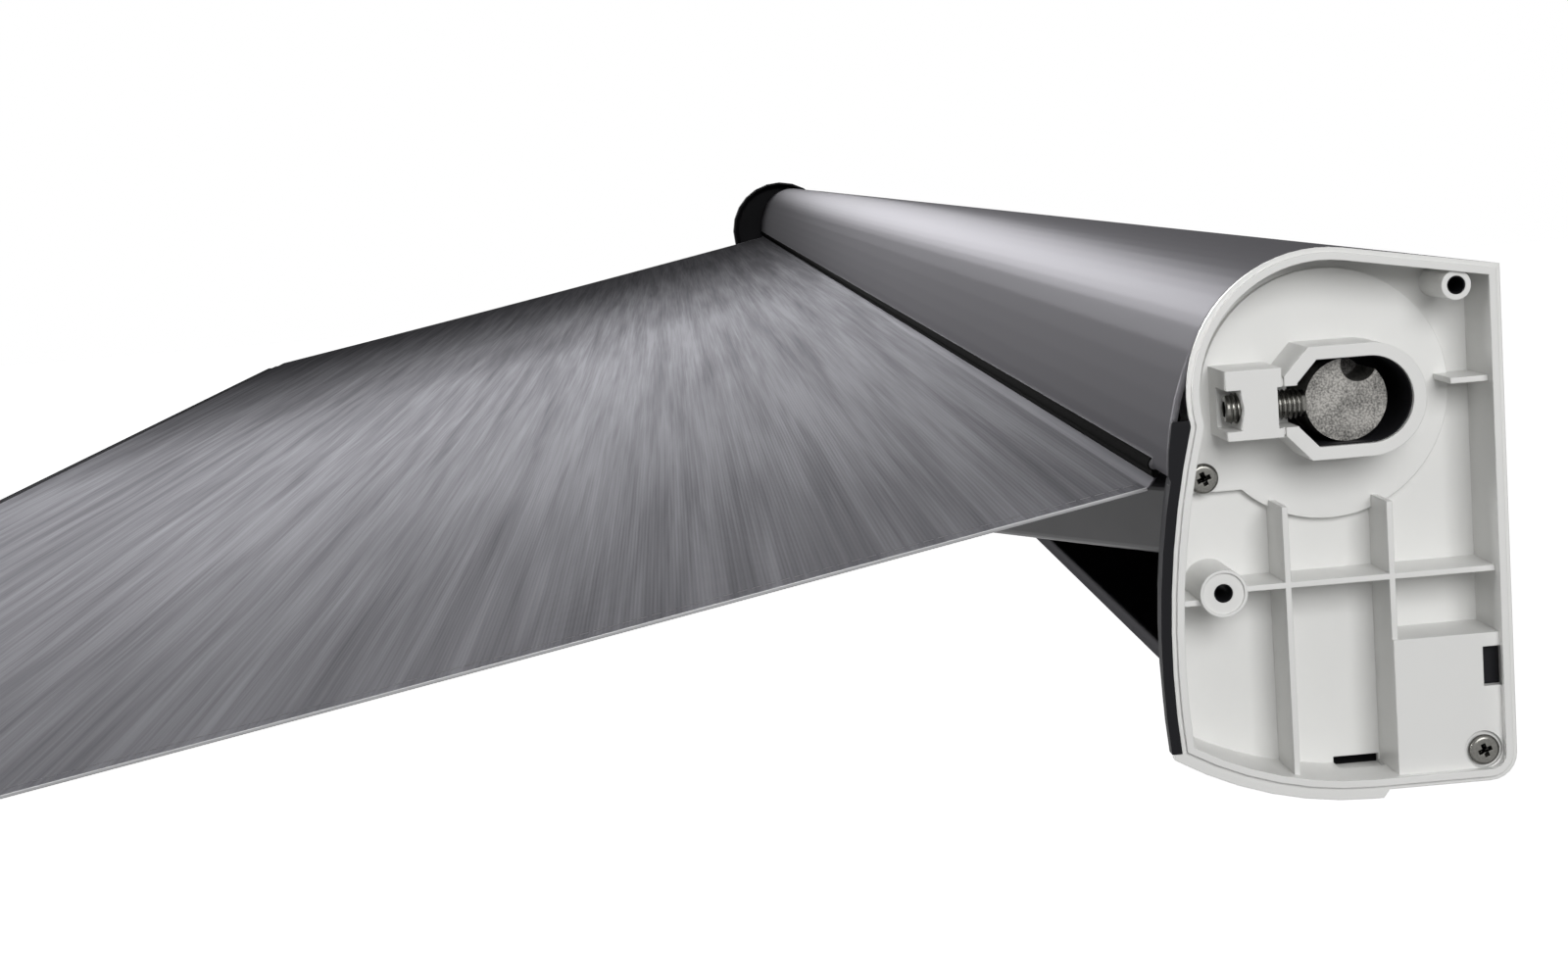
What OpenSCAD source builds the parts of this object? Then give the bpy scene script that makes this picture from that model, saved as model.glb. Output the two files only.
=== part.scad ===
/* [Case] */
// Half the length of the case, from its middle to the rim of an end frame
half_l = 1600; // [1300:10:2000]
// Radius of the arch over the cloth roller
arch_r = 45; // [43:0.5:50]
// How far the arch's centre stands in front of the back wall
arch_d = 58; // [56:0.5:64]
// Height of the arch's centre above the underside
arch_h = 133.9; // [132:0.5:140]
// Wall thickness of the extruded case
skin_t = 2; // [1.6:0.1:2.6]
// Radius of the flatter brow below the arch
brow_r = 100; // [90:1:120]
// Height of the brow's lower edge
lip_h = 109.6; // [108:0.2:112]
// Radius of the gently curved front
front_r = 300; // [260:5:360]
// Greatest depth of the end frame, wall to front
case_d = 112.2; // [110:0.2:116]
// Height at which the front stands furthest out
front_h = 48; // [44:1:54]
// Radius of the curved underside
under_r = 120; // [110:1:150]
// Where the flat underside starts to curve up, from the wall
under_d = 48; // [44:1:54]
// Radius of the lower back corner
corner_r = 9; // [8:0.5:12]

/* [End frames] */
// Depth of the open recess of an end frame
recess_d = 24.5; // [20:0.5:28]
// Thickness of the recess floor
floor_t = 2.5; // [2:0.1:3]
// Wall thickness of the rim
rim_w = 4; // [3.6:0.1:4.6]
// Depth of the flange that covers the end of the case
flange_t = 2.5; // [2:0.1:3]
// Thickness of the moulded ribs
rib_t = 1.9; // [1.5:0.1:2.4]
// How far the rib tops lie below the rim
rib_drop = 4.5; // [3:0.5:7]
// Height of the round plateau above the recess floor
plateau_t = 3; // [2:0.5:4]
// Radius of the round plateau
plateau_r = 41.4; // [40:0.2:42]
// Half height of the slot that holds the roller shaft
slot_r = 14.1; // [13.9:0.1:14.6]
// Wall thickness round that slot
slot_w = 4.2; // [3:0.1:5]
// Radius of the clamping screw
clamp_r = 5; // [4:0.5:6]
// Radius of a cross-head screw's head
head_r = 5.1; // [4.6:0.1:5.4]
// Thickness of the far end's cover
cover_t = 3; // [2.4:0.2:4]
// How far the cover stands out past the rim
cover_out = 32; // [28:1:40]

/* [Roller] */
// Depth of the roller's axis in front of the back wall
axis_d = 50.3; // [50:0.1:51]
// Height of the roller's axis
axis_h = 129.2; // [129:0.1:130]
// Radius of the fixed shaft's end
shaft_r = 13.4; // [13:0.1:13.7]
// Radius of the roller tube
tube_r = 25; // [22:0.5:27]
// Wall of the roller tube
tube_w = 1.5; // [1.2:0.1:2]
// Outer radius of the cloth wound on the roller
roll_r = 31; // [29:0.5:32]
// Radius of the journals
journal_r = 7; // [6:0.5:8]
// Teeth of the worm wheel
wheel_teeth = 20; // [16:1:24]
// Tip radius of the worm wheel
wheel_r = 30; // [27:0.5:31]
// Tip radius of the worm
worm_r = 8; // [7:0.5:9]
// Radius of the hole in the crank's eye
eye_r = 9; // [8:0.5:11]

/* [Arms] */
// Distance of the shoulder pins from the rims of the end frames
shoulder_in = 180; // [150:5:400]
// Distance of the folded elbows from the middle of the case
elbow_x = 170; // [60:10:400]
// How far the rail has travelled from the closed case
travel = 845; // [600:5:1000]
// Slope of the cloth and arms below the horizontal
slope = 10.1; // [8:0.1:12]
// Width of an arm tube
arm_w = 26; // [22:1:27]
// Height of an arm tube
arm_h = 34; // [28:1:36]
// Wall of an arm tube
arm_t = 2; // [1.6:0.1:2.6]
// Distance between the two halves of a folded arm
arm_pitch = 31; // [30:0.5:33]
// Radius of the arm pins
pin_r = 5; // [4:0.5:6]
// Radius of the rounded knuckles
knuckle_r = 12.5; // [12:0.5:13]
// Height of the shoulder pins above the underside
shoulder_h = 62; // [58:1:68]
// Depth of the shoulder pins in front of the back wall
shoulder_d = 25; // [25:0.5:27]

/* [Lead rail and legs] */
// Wall thickness of the lead rail
rail_t = 2.2; // [1.8:0.1:2.6]
// Height of the rail's lower edge
rail_low = 18; // [17:0.5:22]
// How deep the rail's hollow chamber is, front to back
rail_depth = 30; // [28:0.5:31]
// Height of the chamber's floor
chamber_h = 70; // [67:0.5:74]
// Height of the right leg, stowed in the rail's channel
leg_high = 58; // [56:0.5:58.5]
// Height of the left leg, stowed below the right one's line
leg_low = 32.5; // [31:0.5:34]
// Outer width of a support leg
leg_w = 20; // [18:0.5:20.5]
// Wall of a leg tube
leg_t = 1.5; // [1.2:0.1:2]
// Distance of the leg pivots from the rims of the end frames
leg_in = 100; // [70:5:200]
// Length of a leg's outer tube from its pivot
leg_l = 1150; // [900:10:1200]
// Length of a leg's inner tube
leg_inner_l = 900; // [700:10:1100]
// Radius of the leg pins
leg_pin_r = 4; // [3:0.5:5]

/* [Cloth] */
// Thickness of the cloth
cloth_t = 1; // [0.8:0.1:1.2]
// Gap between the cloth's side edge and the end frame's back
cloth_gap = 2.5; // [2:0.5:8]
// Depth at which the cloth turns out of the case
exit_d = 110.5; // [109:0.5:111]
// Height at which the cloth leaves the case
exit_h = 101.8; // [100:0.2:103]

/* [Wall brackets] */
// Distance of the outer brackets' middles from the rims of the end frames
bracket_in = 450; // [350:10:700]
// Width of a bracket along the wall
bracket_w = 100; // [90:5:140]
// Thickness of the bracket plate
bracket_t = 5; // [4:0.5:6]
// Height of the case's underside above the wall bolts
case_z = 32; // [28:1:45]
// Distance between the two wall bolts of a bracket
bolt_pitch = 60; // [40:5:70]
// Radius of the wall bolt holes
bolt_r = 4.25; // [3.25:0.25:5.25]

/* [Hidden] */
$fn = 48;

// Clearances
run_c = 0.05;   // shaft in its bore
seat_c = 0.3;   // a part beside one that moves
slide_c = 0.2;  // one tube inside another

// Places in the case's own section: [distance from the wall as a negative y, height]
arch_c = [-arch_d, arch_h];
brow_a = 150;
brow_c = arch_c - (brow_r - arch_r) * [cos(brow_a), sin(brow_a)];
front_c = [front_r - case_d, front_h];
under_c = [-under_d, under_r];
top_a = 80;
axis = [-axis_d, axis_h];
frame_depth = recess_d + floor_t;
inner_x = half_l - frame_depth;
cloth_x = inner_x - cloth_gap;
rail_x = cloth_x - seat_c;
rail_cap_t = 4;
shelf_a = 13;
shoulder_x = half_l - shoulder_in;
leg_x = half_l - leg_in;
bracket_x = half_l - bracket_in;

// The fold: the arms swing in a plane that slopes down and out
arm_l = shoulder_x - elbow_x;
half_pitch = arm_pitch / 2;
link = norm([arm_l, half_pitch]);
folded_a = atan2(half_pitch, arm_l);
open_a = asin(travel / (2 * link) + sin(folded_a));
swing = open_a - folded_a;
out_dir = [-cos(slope), -sin(slope)];

// Two circles' crossing; side picks one of the two
function crossing(c1, r1, c2, r2, side) =
  let (d = norm(c2 - c1), a = (r1 * r1 - r2 * r2 + d * d) / (2 * d),
       h = sqrt(r1 * r1 - a * a), u = (c2 - c1) / d)
  c1 + a * u + side * h * [-u[1], u[0]];
function turn_of(c, p) = let (a = atan2(p[1] - c[1], p[0] - c[0])) a < 0 ? a + 360 : a;
function arc(c, r, a0, a1, n) =
  [for (i = [0 : n]) let (a = a0 + (a1 - a0) * i / n) c + r * [cos(a), sin(a)]];
function reversed(p) = [for (i = [len(p) - 1 : -1 : 0]) p[i]];

// Height of the sloping top at depth y, with the outline drawn in by i
function top_at(y, i) = arch_h + ((arch_r - i) - (y + arch_d) * cos(top_a)) / sin(top_a);
// Height of the cloth's middle at depth y
function cloth_at(y) = exit_h + (y + exit_d) * tan(slope);

// The end frame's outline, drawn in by i
function rim_outline(i) =
  let (k = crossing(arch_c, arch_r - i, front_c, front_r - i, -1),
       b = crossing(front_c, front_r - i, under_c, under_r - i, 1))
  concat(
    arc([-corner_r, corner_r], corner_r - i, 270, 360, 6),
    [[-i, top_at(-i, i)]],
    arc(arch_c, arch_r - i, top_a, turn_of(arch_c, k), 20),
    arc(front_c, front_r - i, turn_of(front_c, k), turn_of(front_c, b), 8),
    arc(under_c, under_r - i, turn_of(under_c, b), 270, 6));

// The extruded case's line from its lower shelf round to the lip, drawn in by i
function case_line(i) =
  concat(
    arc(under_c, under_r - i, 270 - shelf_a, 270, 4),
    arc([-corner_r, corner_r], corner_r - i, 270, 360, 6),
    [[-i, top_at(-i, i)]],
    arc(arch_c, arch_r - i, top_a, brow_a, 14),
    arc(brow_c, brow_r - i, brow_a, 180 - asin((lip_h - brow_c[1]) / (brow_r - i)), 6));

// A rounded rectangle's corners, centred
function round_rect(w, h, r) =
  concat(arc([w / 2 - r, h / 2 - r], r, 0, 90, 4), arc([r - w / 2, h / 2 - r], r, 90, 180, 4),
         arc([r - w / 2, r - h / 2], r, 180, 270, 4), arc([w / 2 - r, r - h / 2], r, 270, 360, 4));

// A section in the y and z plane drawn out from x0 to x1
module along_x(x0, x1) {
  translate([x0, 0, 0]) rotate([90, 0, 90]) linear_extrude(x1 - x0) children();
}
// The same, from depth d0 to depth d1 behind the right rim
module from_rim(d0, d1) { along_x(half_l - d1, half_l - d0) children(); }
module disc(p, r) { translate(p) circle(r); }
module patch(p0, p1) { translate(p0) square(p1 - p0); }
module in_case() { translate([0, -bracket_t, case_z]) children(); }
module on_rail() {
  translate([0, travel * out_dir[0], travel * out_dir[1]]) in_case() children();
}
module other_end() { mirror([1, 0, 0]) children(); }

// CASE

port_top = [-14.2, 163.4];
port_low = [-10.5, 10.2];
port_r = 2.3;
bead_r = 2;
lip_p = brow_c + (brow_r - skin_t / 2)
  * [cos(180 - asin((lip_h - brow_c[1]) / brow_r)), sin(180 - asin((lip_h - brow_c[1]) / brow_r))];

module case_skin() { polygon(concat(case_line(0), reversed(case_line(skin_t)))); }
module case_section() {
  difference() {
    union() {
      case_skin();
      disc(port_top, port_r + 2);
      patch([port_top[0] - 2, port_top[1] + 2], [port_top[0] + 2, top_at(port_top[0], skin_t) + 0.5]);
      disc(port_low, port_r + 2);
      patch([port_low[0] - 2, skin_t / 2], [port_low[0] + 2, port_low[1] - 2]);
      disc(lip_p + [0, bead_r / 2], bead_r);
      // Stiffening rib along the lower shelf's edge
      translate(under_c + (under_r - skin_t) * [cos(270 - shelf_a), sin(270 - shelf_a)] - [0, 0.8])
        square([skin_t, 5.8]);
    }
    disc(port_top, port_r);
    disc(port_low, port_r);
  }
}
module case_shell() {
  color([0.17, 0.17, 0.19])
  difference() {
    in_case() {
      along_x(-half_l + flange_t, half_l - flange_t) difference() {
        case_skin();
        // The shelf is cut back where the frames' foot bands pass
        patch([-case_d, -1], [seat_c - foot_end, 20]);
      }
      // Screw ports, lip bead and shelf rib stop where the end frames plug in
      along_x(-inner_x, inner_x) case_section();
    }
    bracket_screw_places() cylinder(r = case_screw_r + run_c, h = 40, center = true);
  }
}
module lip_seal() {
  color([0.05, 0.05, 0.055])
  in_case() along_x(-inner_x, inner_x) disc(lip_p - [0, bead_r / 2 + seal_r], seal_r);
}
seal_r = 1.4;

// END FRAMES

drawn_in = skin_t + slide_c;
step_w = 1.6;
step_d = 1.2;

// The plug, flange and open recess that both ends share
module frame_blank() {
  difference() {
    union() {
      from_rim(step_d, flange_t) polygon(rim_outline(0));
      from_rim(0, step_d + 0.1) polygon(rim_outline(step_w));
      from_rim(flange_t - 0.1, frame_depth) polygon(rim_outline(drawn_in));
      // Foot band under the plug, lower than the rim
      from_rim(step_d, band_t) intersection() {
        difference() {
          polygon(rim_outline(-foot_drop));
          polygon(rim_outline(drawn_in + 1));
          // Chamfered end
          polygon([[-foot_end - foot_drop, -foot_drop - 1], [1 - foot_end, -foot_drop - 1], [1 - foot_end, 1]]);
        }
        patch([-case_d - foot_drop, -foot_drop - 1], [-foot_end, foot_top]);
      }
    }
    from_rim(-1, recess_d) polygon(rim_outline(rim_w));
  }
}
foot_drop = 2.7;
foot_end = 43;
foot_top = 18;
band_t = 5;

boss_p = [-94.3, 69.9];
screw_tab_p = [-94.9, 105.2];
plateau_p = [-53, 129.8];
rib_v1 = -72.3;
rib_v2 = -38;
rib_h1 = 70.2;
rib_h2 = 132.5;
pad_top = 49.2;
pad_drop = 3;
block_p0 = [-91, axis_h - 9.6];
block_p1 = [-73, axis_h + 12.8];
block_up = 2.5;
slot_up = 1.5;
window_h = 6.6;

module keep_inside(i) {
  intersection() {
    children();
    polygon(rim_outline(i));
  }
}
module slot_shape(w) {
  h1 = slot_r + w;
  h2 = slot_r / 2 + 0.6 * w;
  // Round at the back, chamfered towards the clamping screw
  hull() {
    disc([axis[0] + 6, axis[1] + 0.2], h1);
    patch([axis[0] - 11 - 0.6 * w, axis[1] + 0.2 - h1], [axis[0], axis[1] + 0.2 + h1]);
    patch([axis[0] - 17.5 - w, axis[1] + 0.2 - h2], [axis[0], axis[1] + 0.2 + h2]);
  }
}
module plateau_shape() {
  keep_inside(rim_w - 0.2) {
    disc(plateau_p, plateau_r);
    patch([-case_d, screw_tab_p[1] - 5], [-81, 135]);
  }
}
module rib_shapes() {
  keep_inside(rim_w - 0.2) {
    patch([boss_p[0], rib_h1 - rib_t / 2], [0, rib_h1 + rib_t / 2]);
    patch([-case_d, boss_p[1] - 3 - rib_t / 2], [boss_p[0], boss_p[1] - 3 + rib_t / 2]);
    patch([rib_v1 - rib_t / 2, 0], [rib_v1 + rib_t / 2, 96]);
    patch([rib_v2 - rib_t / 2, pad_top - 2], [rib_v2 + rib_t / 2, 95]);
    patch([axis[0] + 34, rib_h2 - rib_t / 2], [0, rib_h2 + rib_t / 2]);
  }
}
module pad_shape() {
  keep_inside(rim_w - 0.2) patch([rib_v2 - rib_t / 2, 0], [0, pad_top]);
}
module right_end_frame() {
  color([0.87, 0.87, 0.86])
  in_case() difference() {
    union() {
      frame_blank();
      from_rim(recess_d - plateau_t, recess_d + 0.1) plateau_shape();
      from_rim(rib_drop, recess_d + 0.1) rib_shapes();
      from_rim(pad_drop, recess_d + 0.1) pad_shape();
      from_rim(1, recess_d + 0.1) disc(boss_p, 7.8);
      from_rim(1.5, recess_d + 0.1) keep_inside(rim_w - 0.2) disc(port_top, 4.8);
      from_rim(-slot_up, recess_d + 0.1) slot_shape(slot_w);
      from_rim(-block_up, recess_d + 0.1) patch(block_p0, block_p1);
      from_rim(-0.5, recess_d + 0.1)
        patch([block_p1[0] - 1, axis_h - window_h - 2.4], [axis[0] - slot_r - slot_w, axis_h + window_h + 2.4]);
    }
    // Shaft slot through the floor, and the clamping screw's way into it
    from_rim(-slot_up - 1, frame_depth + 1) slot_shape(0);
    translate([half_l - clamp_depth, block_p0[0] - 1, axis_h]) rotate([-90, 0, 0])
      cylinder(r = clamp_r + run_c, h = axis[0] - block_p0[0]);
    // Windows either side of the block's bridge
    from_rim(-block_up - 1, clamp_depth + clamp_r + 1)
      polygon([[block_p0[0] - 1, axis_h - window_h], [block_p0[0] + 4.6, axis_h - window_h],
               [block_p0[0] + 5.6, axis_h], [block_p0[0] + 4.6, axis_h + window_h],
               [block_p0[0] - 1, axis_h + window_h]]);
    from_rim(-block_up - 1, clamp_depth + clamp_r + 1)
      patch([block_p1[0] - 1.5, axis_h - window_h], [axis[0] - slot_r, axis_h + window_h]);
    // Bosses and screw seats
    from_rim(0, frame_depth + 1) disc(boss_p, 3.1);
    from_rim(0, 1.8) disc(boss_p, 6.8);
    from_rim(1, recess_d - 1) disc(port_top, port_r + 0.7);
    from_rim(recess_d - 2, frame_depth + 1) disc(port_top, port_r);
    from_rim(pad_drop - 1, pad_drop + 1.2) disc(port_low, 6.2);
    from_rim(pad_drop, frame_depth + 1) disc(port_low, port_r + 0.2);
    from_rim(recess_d - plateau_t - 1, frame_depth + 1) disc(screw_tab_p, port_r + 0.2);
    // Latch slots for the cover
    from_rim(pad_drop - 1, frame_depth + 1) patch([-9.6, 31.4], [0.6 - rim_w, 44.6]);
    from_rim(recess_d - 8, frame_depth + 1) patch([-54.8, rim_w - 1.1], [-39.4, rim_w + 2.2]);
  }
}
clamp_depth = 6.5;

worm_p = [axis[0] - wheel_r - worm_r - 0.5, axis_h];
worm_x = -half_l + 4;
module left_end_frame() {
  color([0.87, 0.87, 0.86])
  in_case() difference() {
    union() {
      other_end() {
        frame_blank();
        from_rim(recess_d - 2, recess_d + 0.1) disc(axis, 20);
        from_rim(rib_drop, recess_d + 0.1) keep_inside(rim_w - 0.2) {
          patch([rib_v1 - rib_t / 2, 0], [rib_v1 + rib_t / 2, 88]);
          patch([rib_v2 - rib_t / 2, 0], [rib_v2 + rib_t / 2, 92]);
          patch([-case_d, rib_h1 - rib_t / 2], [0, rib_h1 + rib_t / 2]);
        }
        for (p = [port_top, port_low, cover_low_p])
          from_rim(7, recess_d + 0.1) keep_inside(rim_w - 0.2) disc(p, 4.7);
      }
      // Bearing lugs of the worm shaft
      for (z = [axis_h - 26, axis_h + 20]) translate([worm_x - 8, worm_p[0] - 6.5, z])
        cube([recess_d + 4.1, 13, 6]);
    }
    other_end() {
      from_rim(0, frame_depth + 1) disc(axis, stub_r + run_c);
      for (p = [port_top, port_low, cover_low_p]) from_rim(6, frame_depth + 1) disc(p, port_r);
    }
    translate([worm_x, worm_p[0], -20]) cylinder(r = worm_shaft_r + run_c, h = 220);
  }
}
cover_low_p = [-55, 26];

// Dark moulding that follows the rim's front and covers the end of the lip
nose_out = 3.5;
nose_top = 127;
nose_low = foot_top + seat_c;
nose_high = lip_h - 3;
nose_end = 22;
module nose_shape(z) {
  difference() {
    intersection() {
      union() {
        polygon(rim_outline(-nose_out));
        polygon(case_line(0));
      }
      patch([-case_d - nose_out - 1, nose_low], [-case_d + 30, z]);
    }
    polygon(rim_outline(-0.1));
  }
}
module side_seal() {
  from_rim(step_d / 2, flange_t - 0.2) nose_shape(nose_top);
  from_rim(flange_t - 0.3, band_t) nose_shape(nose_high);
  from_rim(flange_t, nose_end) intersection() {
    difference() {
      polygon(rim_outline(-0.3));
      polygon(rim_outline(drawn_in));
    }
    patch([-case_d - 1, nose_low], [-case_d + 20, nose_high]);
  }
}
module right_side_seal() { color([0.07, 0.07, 0.08]) in_case() side_seal(); }
module left_side_seal() { color([0.07, 0.07, 0.08]) in_case() other_end() side_seal(); }

// The far end's moulded cover, larger than the case all round
dome_r = 78.7;
dome_c = [-77, 111.5];
nose_c = [165, 70];
nose_r = 300;
keel_c = [-52, 150];
keel_r = 160;
module left_end_cover() {
  color([0.09, 0.09, 0.10])
  in_case() difference() {
    other_end() difference() {
      hull() {
        from_rim(-cover_out + 8, 14) polygon(cover_line(0));
        from_rim(-cover_out, -cover_out + 1) polygon(cover_line(7));
      }
      hull() {
        from_rim(-cover_out + 8, 15) polygon(cover_line(cover_t));
        from_rim(-cover_out + cover_t, -cover_out + cover_t + 1) polygon(cover_line(7 + cover_t));
      }
      from_rim(-seat_c, 15) polygon(rim_outline(-seat_c));
      for (p = [port_top, port_low, cover_low_p]) from_rim(-cover_out - 1, 1) disc(p, port_r + 0.3);
    }
    // Way out for the crank shaft
    translate([worm_x, worm_p[0], -30]) cylinder(r = worm_shaft_r + 2, h = 60);
  }
}
function cover_line(i) =
  let (k = crossing(dome_c, dome_r - i, nose_c, nose_r - i, -1),
       b = crossing(nose_c, nose_r - i, keel_c, keel_r - i, 1),
       w = dome_c[1] + sqrt(pow(dome_r - i, 2) - pow(dome_c[0] + i, 2)))
  concat(
    [[-i, keel_c[1] - keel_r + i], [-i, w]],
    arc(dome_c, dome_r - i, turn_of(dome_c, [-i, w]), turn_of(dome_c, k), 14),
    arc(nose_c, nose_r - i, turn_of(nose_c, k), turn_of(nose_c, b), 8),
    arc(keel_c, keel_r - i, turn_of(keel_c, b), 270, 8));

// FASTENERS

// A cross-head screw along +x, its head's seat at the origin
module cross_screw(l, r) {
  difference() {
    union() {
      rotate([0, 90, 0]) {
        cylinder(r = head_r, h = 1.4);
        translate([0, 0, 1.39]) cylinder(r1 = head_r, r2 = head_r * 0.62, h = 1.4);
      }
      translate([-l, 0, 0]) rotate([0, 90, 0]) cylinder(r = r, h = l + 0.1);
    }
    for (t = [0, 90]) rotate([t, 0, 0]) translate([1.2, -0.6, -2.6]) cube([4, 1.2, 5.2]);
  }
}
case_screw_r = 2.1;
module end_screws() {
  color([0.72, 0.72, 0.74])
  in_case() {
    translate([half_l - recess_d + plateau_t, screw_tab_p[0], screw_tab_p[1]]) cross_screw(9, case_screw_r);
    translate([half_l - pad_drop - 1.2, port_low[0], port_low[1]]) cross_screw(34, case_screw_r);
    translate([half_l - recess_d + 1, port_top[0], port_top[1]]) rotate([0, 90, 0]) {
      translate([0, 0, -20]) cylinder(r = case_screw_r, h = 20);
      cylinder(r = port_r + 0.5, h = 3);
    }
  }
}
module cover_screws() {
  color([0.2, 0.2, 0.21])
  in_case() other_end() for (p = [port_top, port_low, cover_low_p])
    translate([half_l + cover_out, p[0], p[1]]) cross_screw(cover_out + 16, case_screw_r);
}
module clamp_screw() {
  color([0.55, 0.55, 0.58])
  in_case() translate([half_l - clamp_depth, block_p0[0] + 1, axis_h]) rotate([-90, 0, 0])
  difference() {
    cylinder(r = clamp_r, h = axis[0] - shaft_r - block_p0[0] - 1.2);
    translate([0, 0, -1]) cylinder(r = 2.9, h = 6, $fn = 6);
  }
}

// ROLLER

stub_r = 12;
worm_shaft_r = 5;
plug_l = 42;
notch_p = axis + [4.4, 11.3];
module roller_shaft() {
  color([0.62, 0.61, 0.58])
  in_case() difference() {
    union() {
      from_rim(5.5, frame_depth + 2) disc(axis, shaft_r);
      from_rim(frame_depth + 1.9, frame_depth + 8 + plug_l) disc(axis, journal_r);
    }
    // Keyway for the tensioning tool
    from_rim(4, frame_depth - 1) disc(notch_p, 5.8);
  }
}
module roller_tube() {
  color([0.7, 0.7, 0.72])
  in_case() along_x(-inner_x + 7, inner_x - 7) difference() {
    disc(axis, tube_r);
    disc(axis, tube_r - tube_w);
  }
}
module cloth_roll() {
  color([0.45, 0.45, 0.47])
  in_case() along_x(-cloth_x + 8, cloth_x - 8) difference() {
    disc(axis, roll_r);
    disc(axis, tube_r);
  }
}
module plug_body(bore) {
  along_x(inner_x - 7 - plug_l, inner_x - 7) difference() {
    disc(axis, tube_r - tube_w - run_c);
    if (bore) disc(axis, journal_r + run_c);
  }
  along_x(inner_x - 7, inner_x - 3) difference() {
    disc(axis, tube_r + 1);
    if (bore) disc(axis, journal_r + run_c);
  }
}
module right_roller_plug() {
  color([0.1, 0.1, 0.11])
  in_case() plug_body(true);
}
module left_roller_plug() {
  color([0.1, 0.1, 0.11])
  in_case() other_end() {
    plug_body(false);
    along_x(inner_x - 3.1, half_l + 6) disc(axis, stub_r);
  }
}
module worm_wheel() {
  color([0.75, 0.6, 0.3])
  in_case() translate([worm_x - 6, axis[0], axis[1]]) rotate([0, 90, 0]) difference() {
    linear_extrude(12) difference() {
      circle(wheel_r);
      for (i = [0 : wheel_teeth - 1]) rotate(i * 360 / wheel_teeth)
        translate([wheel_r, 0]) circle(r = PI * wheel_r / wheel_teeth / 2, $fn = 16);
    }
    translate([0, 0, -1]) cylinder(r = stub_r + run_c, h = 14);
  }
}
module worm_shaft() {
  color([0.6, 0.6, 0.62])
  in_case() translate([worm_x, worm_p[0], 0]) {
    translate([0, 0, -58]) cylinder(r = worm_shaft_r, h = axis_h + 58 + 25.9);
    for (i = [-3 : 3]) translate([0, 0, axis_h + i * 5 - 1]) cylinder(r = worm_r, h = 2);
    translate([0, 0, axis_h - 17]) cylinder(r = worm_r - 2, h = 34);
  }
}
eye_boss_l = 12;
eye_t = 7;
eye_z = -eye_boss_l - eye_r - 1;
module crank_eye() {
  color([0.5, 0.5, 0.52])
  in_case() translate([worm_x, worm_p[0], -58]) difference() {
    union() {
      translate([0, 0, -eye_boss_l]) cylinder(r = 7.5, h = eye_boss_l + 12);
      translate([-eye_t / 2, 0, eye_z]) rotate([0, 90, 0]) cylinder(r = eye_r + 5, h = eye_t);
    }
    cylinder(r = worm_shaft_r + run_c, h = 13);
    translate([-8, 0, eye_z]) rotate([0, 90, 0]) cylinder(r = eye_r, h = 16);
  }
}

// ARMS, drawn for the right side in the plane of the fold

// Origin at the right shoulder pin, -y out along the slope, z along the pins
module at_shoulder() {
  in_case() translate([shoulder_x, -shoulder_d, shoulder_h]) rotate([slope, 0, 0]) children();
}
module at_elbow() {
  at_shoulder() rotate([0, 0, swing]) translate([-arm_l, -half_pitch, 0]) children();
}
module at_tip() {
  on_rail() translate([shoulder_x, -shoulder_d, shoulder_h]) rotate([slope, 0, 0])
    translate([0, -arm_pitch, 0]) children();
}
module arm_tube(x0, x1, y) {
  translate([x0, y, 0]) rotate([90, 0, 90]) linear_extrude(x1 - x0) difference() {
    polygon(round_rect(arm_w, arm_h, 4));
    polygon(round_rect(arm_w - 2 * arm_t, arm_h - 2 * arm_t, 2.5));
  }
}
// A stub that fills the tube's mouth
module tube_stub(x0, x1, y) {
  translate([x0, y, 0]) rotate([90, 0, 90]) linear_extrude(x1 - x0)
    polygon(round_rect(arm_w - 2 * arm_t - 2 * run_c, arm_h - 2 * arm_t - 2 * run_c, 2.5));
}
tongue_h = 16;
shoulder_tongue_h = 20;
ear_t = 6.5;
mouth = 34;
module pin_hole(c) { cylinder(r = pin_r + c, h = 80, center = true); }
module slab_z(h) { translate([0, 0, -h / 2]) linear_extrude(h) children(); }

module upper_arm() {
  at_shoulder() rotate([0, 0, swing]) difference() {
    union() {
      arm_tube(-arm_l + mouth, -mouth, 0);
      tube_stub(-mouth - 30, -mouth + 2, 0);
      slab_z(shoulder_tongue_h) {
        circle(knuckle_r);
        translate([-mouth, -knuckle_r]) square([mouth, 2 * knuckle_r]);
      }
    }
    pin_hole(run_c);
  }
}
module elbow_fork() {
  at_shoulder() rotate([0, 0, swing]) difference() {
    union() {
      tube_stub(-arm_l + mouth - 2, -arm_l + mouth + 30, 0);
      for (s = [-1, 1]) translate([0, 0, s * (tongue_h / 2 + seat_c + ear_t / 2)]) slab_z(ear_t) {
        translate([-arm_l, -half_pitch]) circle(knuckle_r);
        polygon([[-arm_l, -half_pitch - knuckle_r], [-arm_l + mouth, -arm_w / 2],
                 [-arm_l + mouth, arm_w / 2], [-arm_l + 4, arm_w / 2 - 2], [-arm_l - knuckle_r, -half_pitch]]);
      }
      // Web behind the forearm's tongue, clear of it when folded
      slab_z(tongue_h + 2 * seat_c + 1) polygon([[-arm_l + mouth - 9, -arm_w / 2 + 3],
        [-arm_l + mouth, -arm_w / 2], [-arm_l + mouth, arm_w / 2], [-arm_l + mouth - 9, arm_w / 2]]);
    }
    translate([-arm_l, -half_pitch, 0]) pin_hole(run_c);
  }
}
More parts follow.
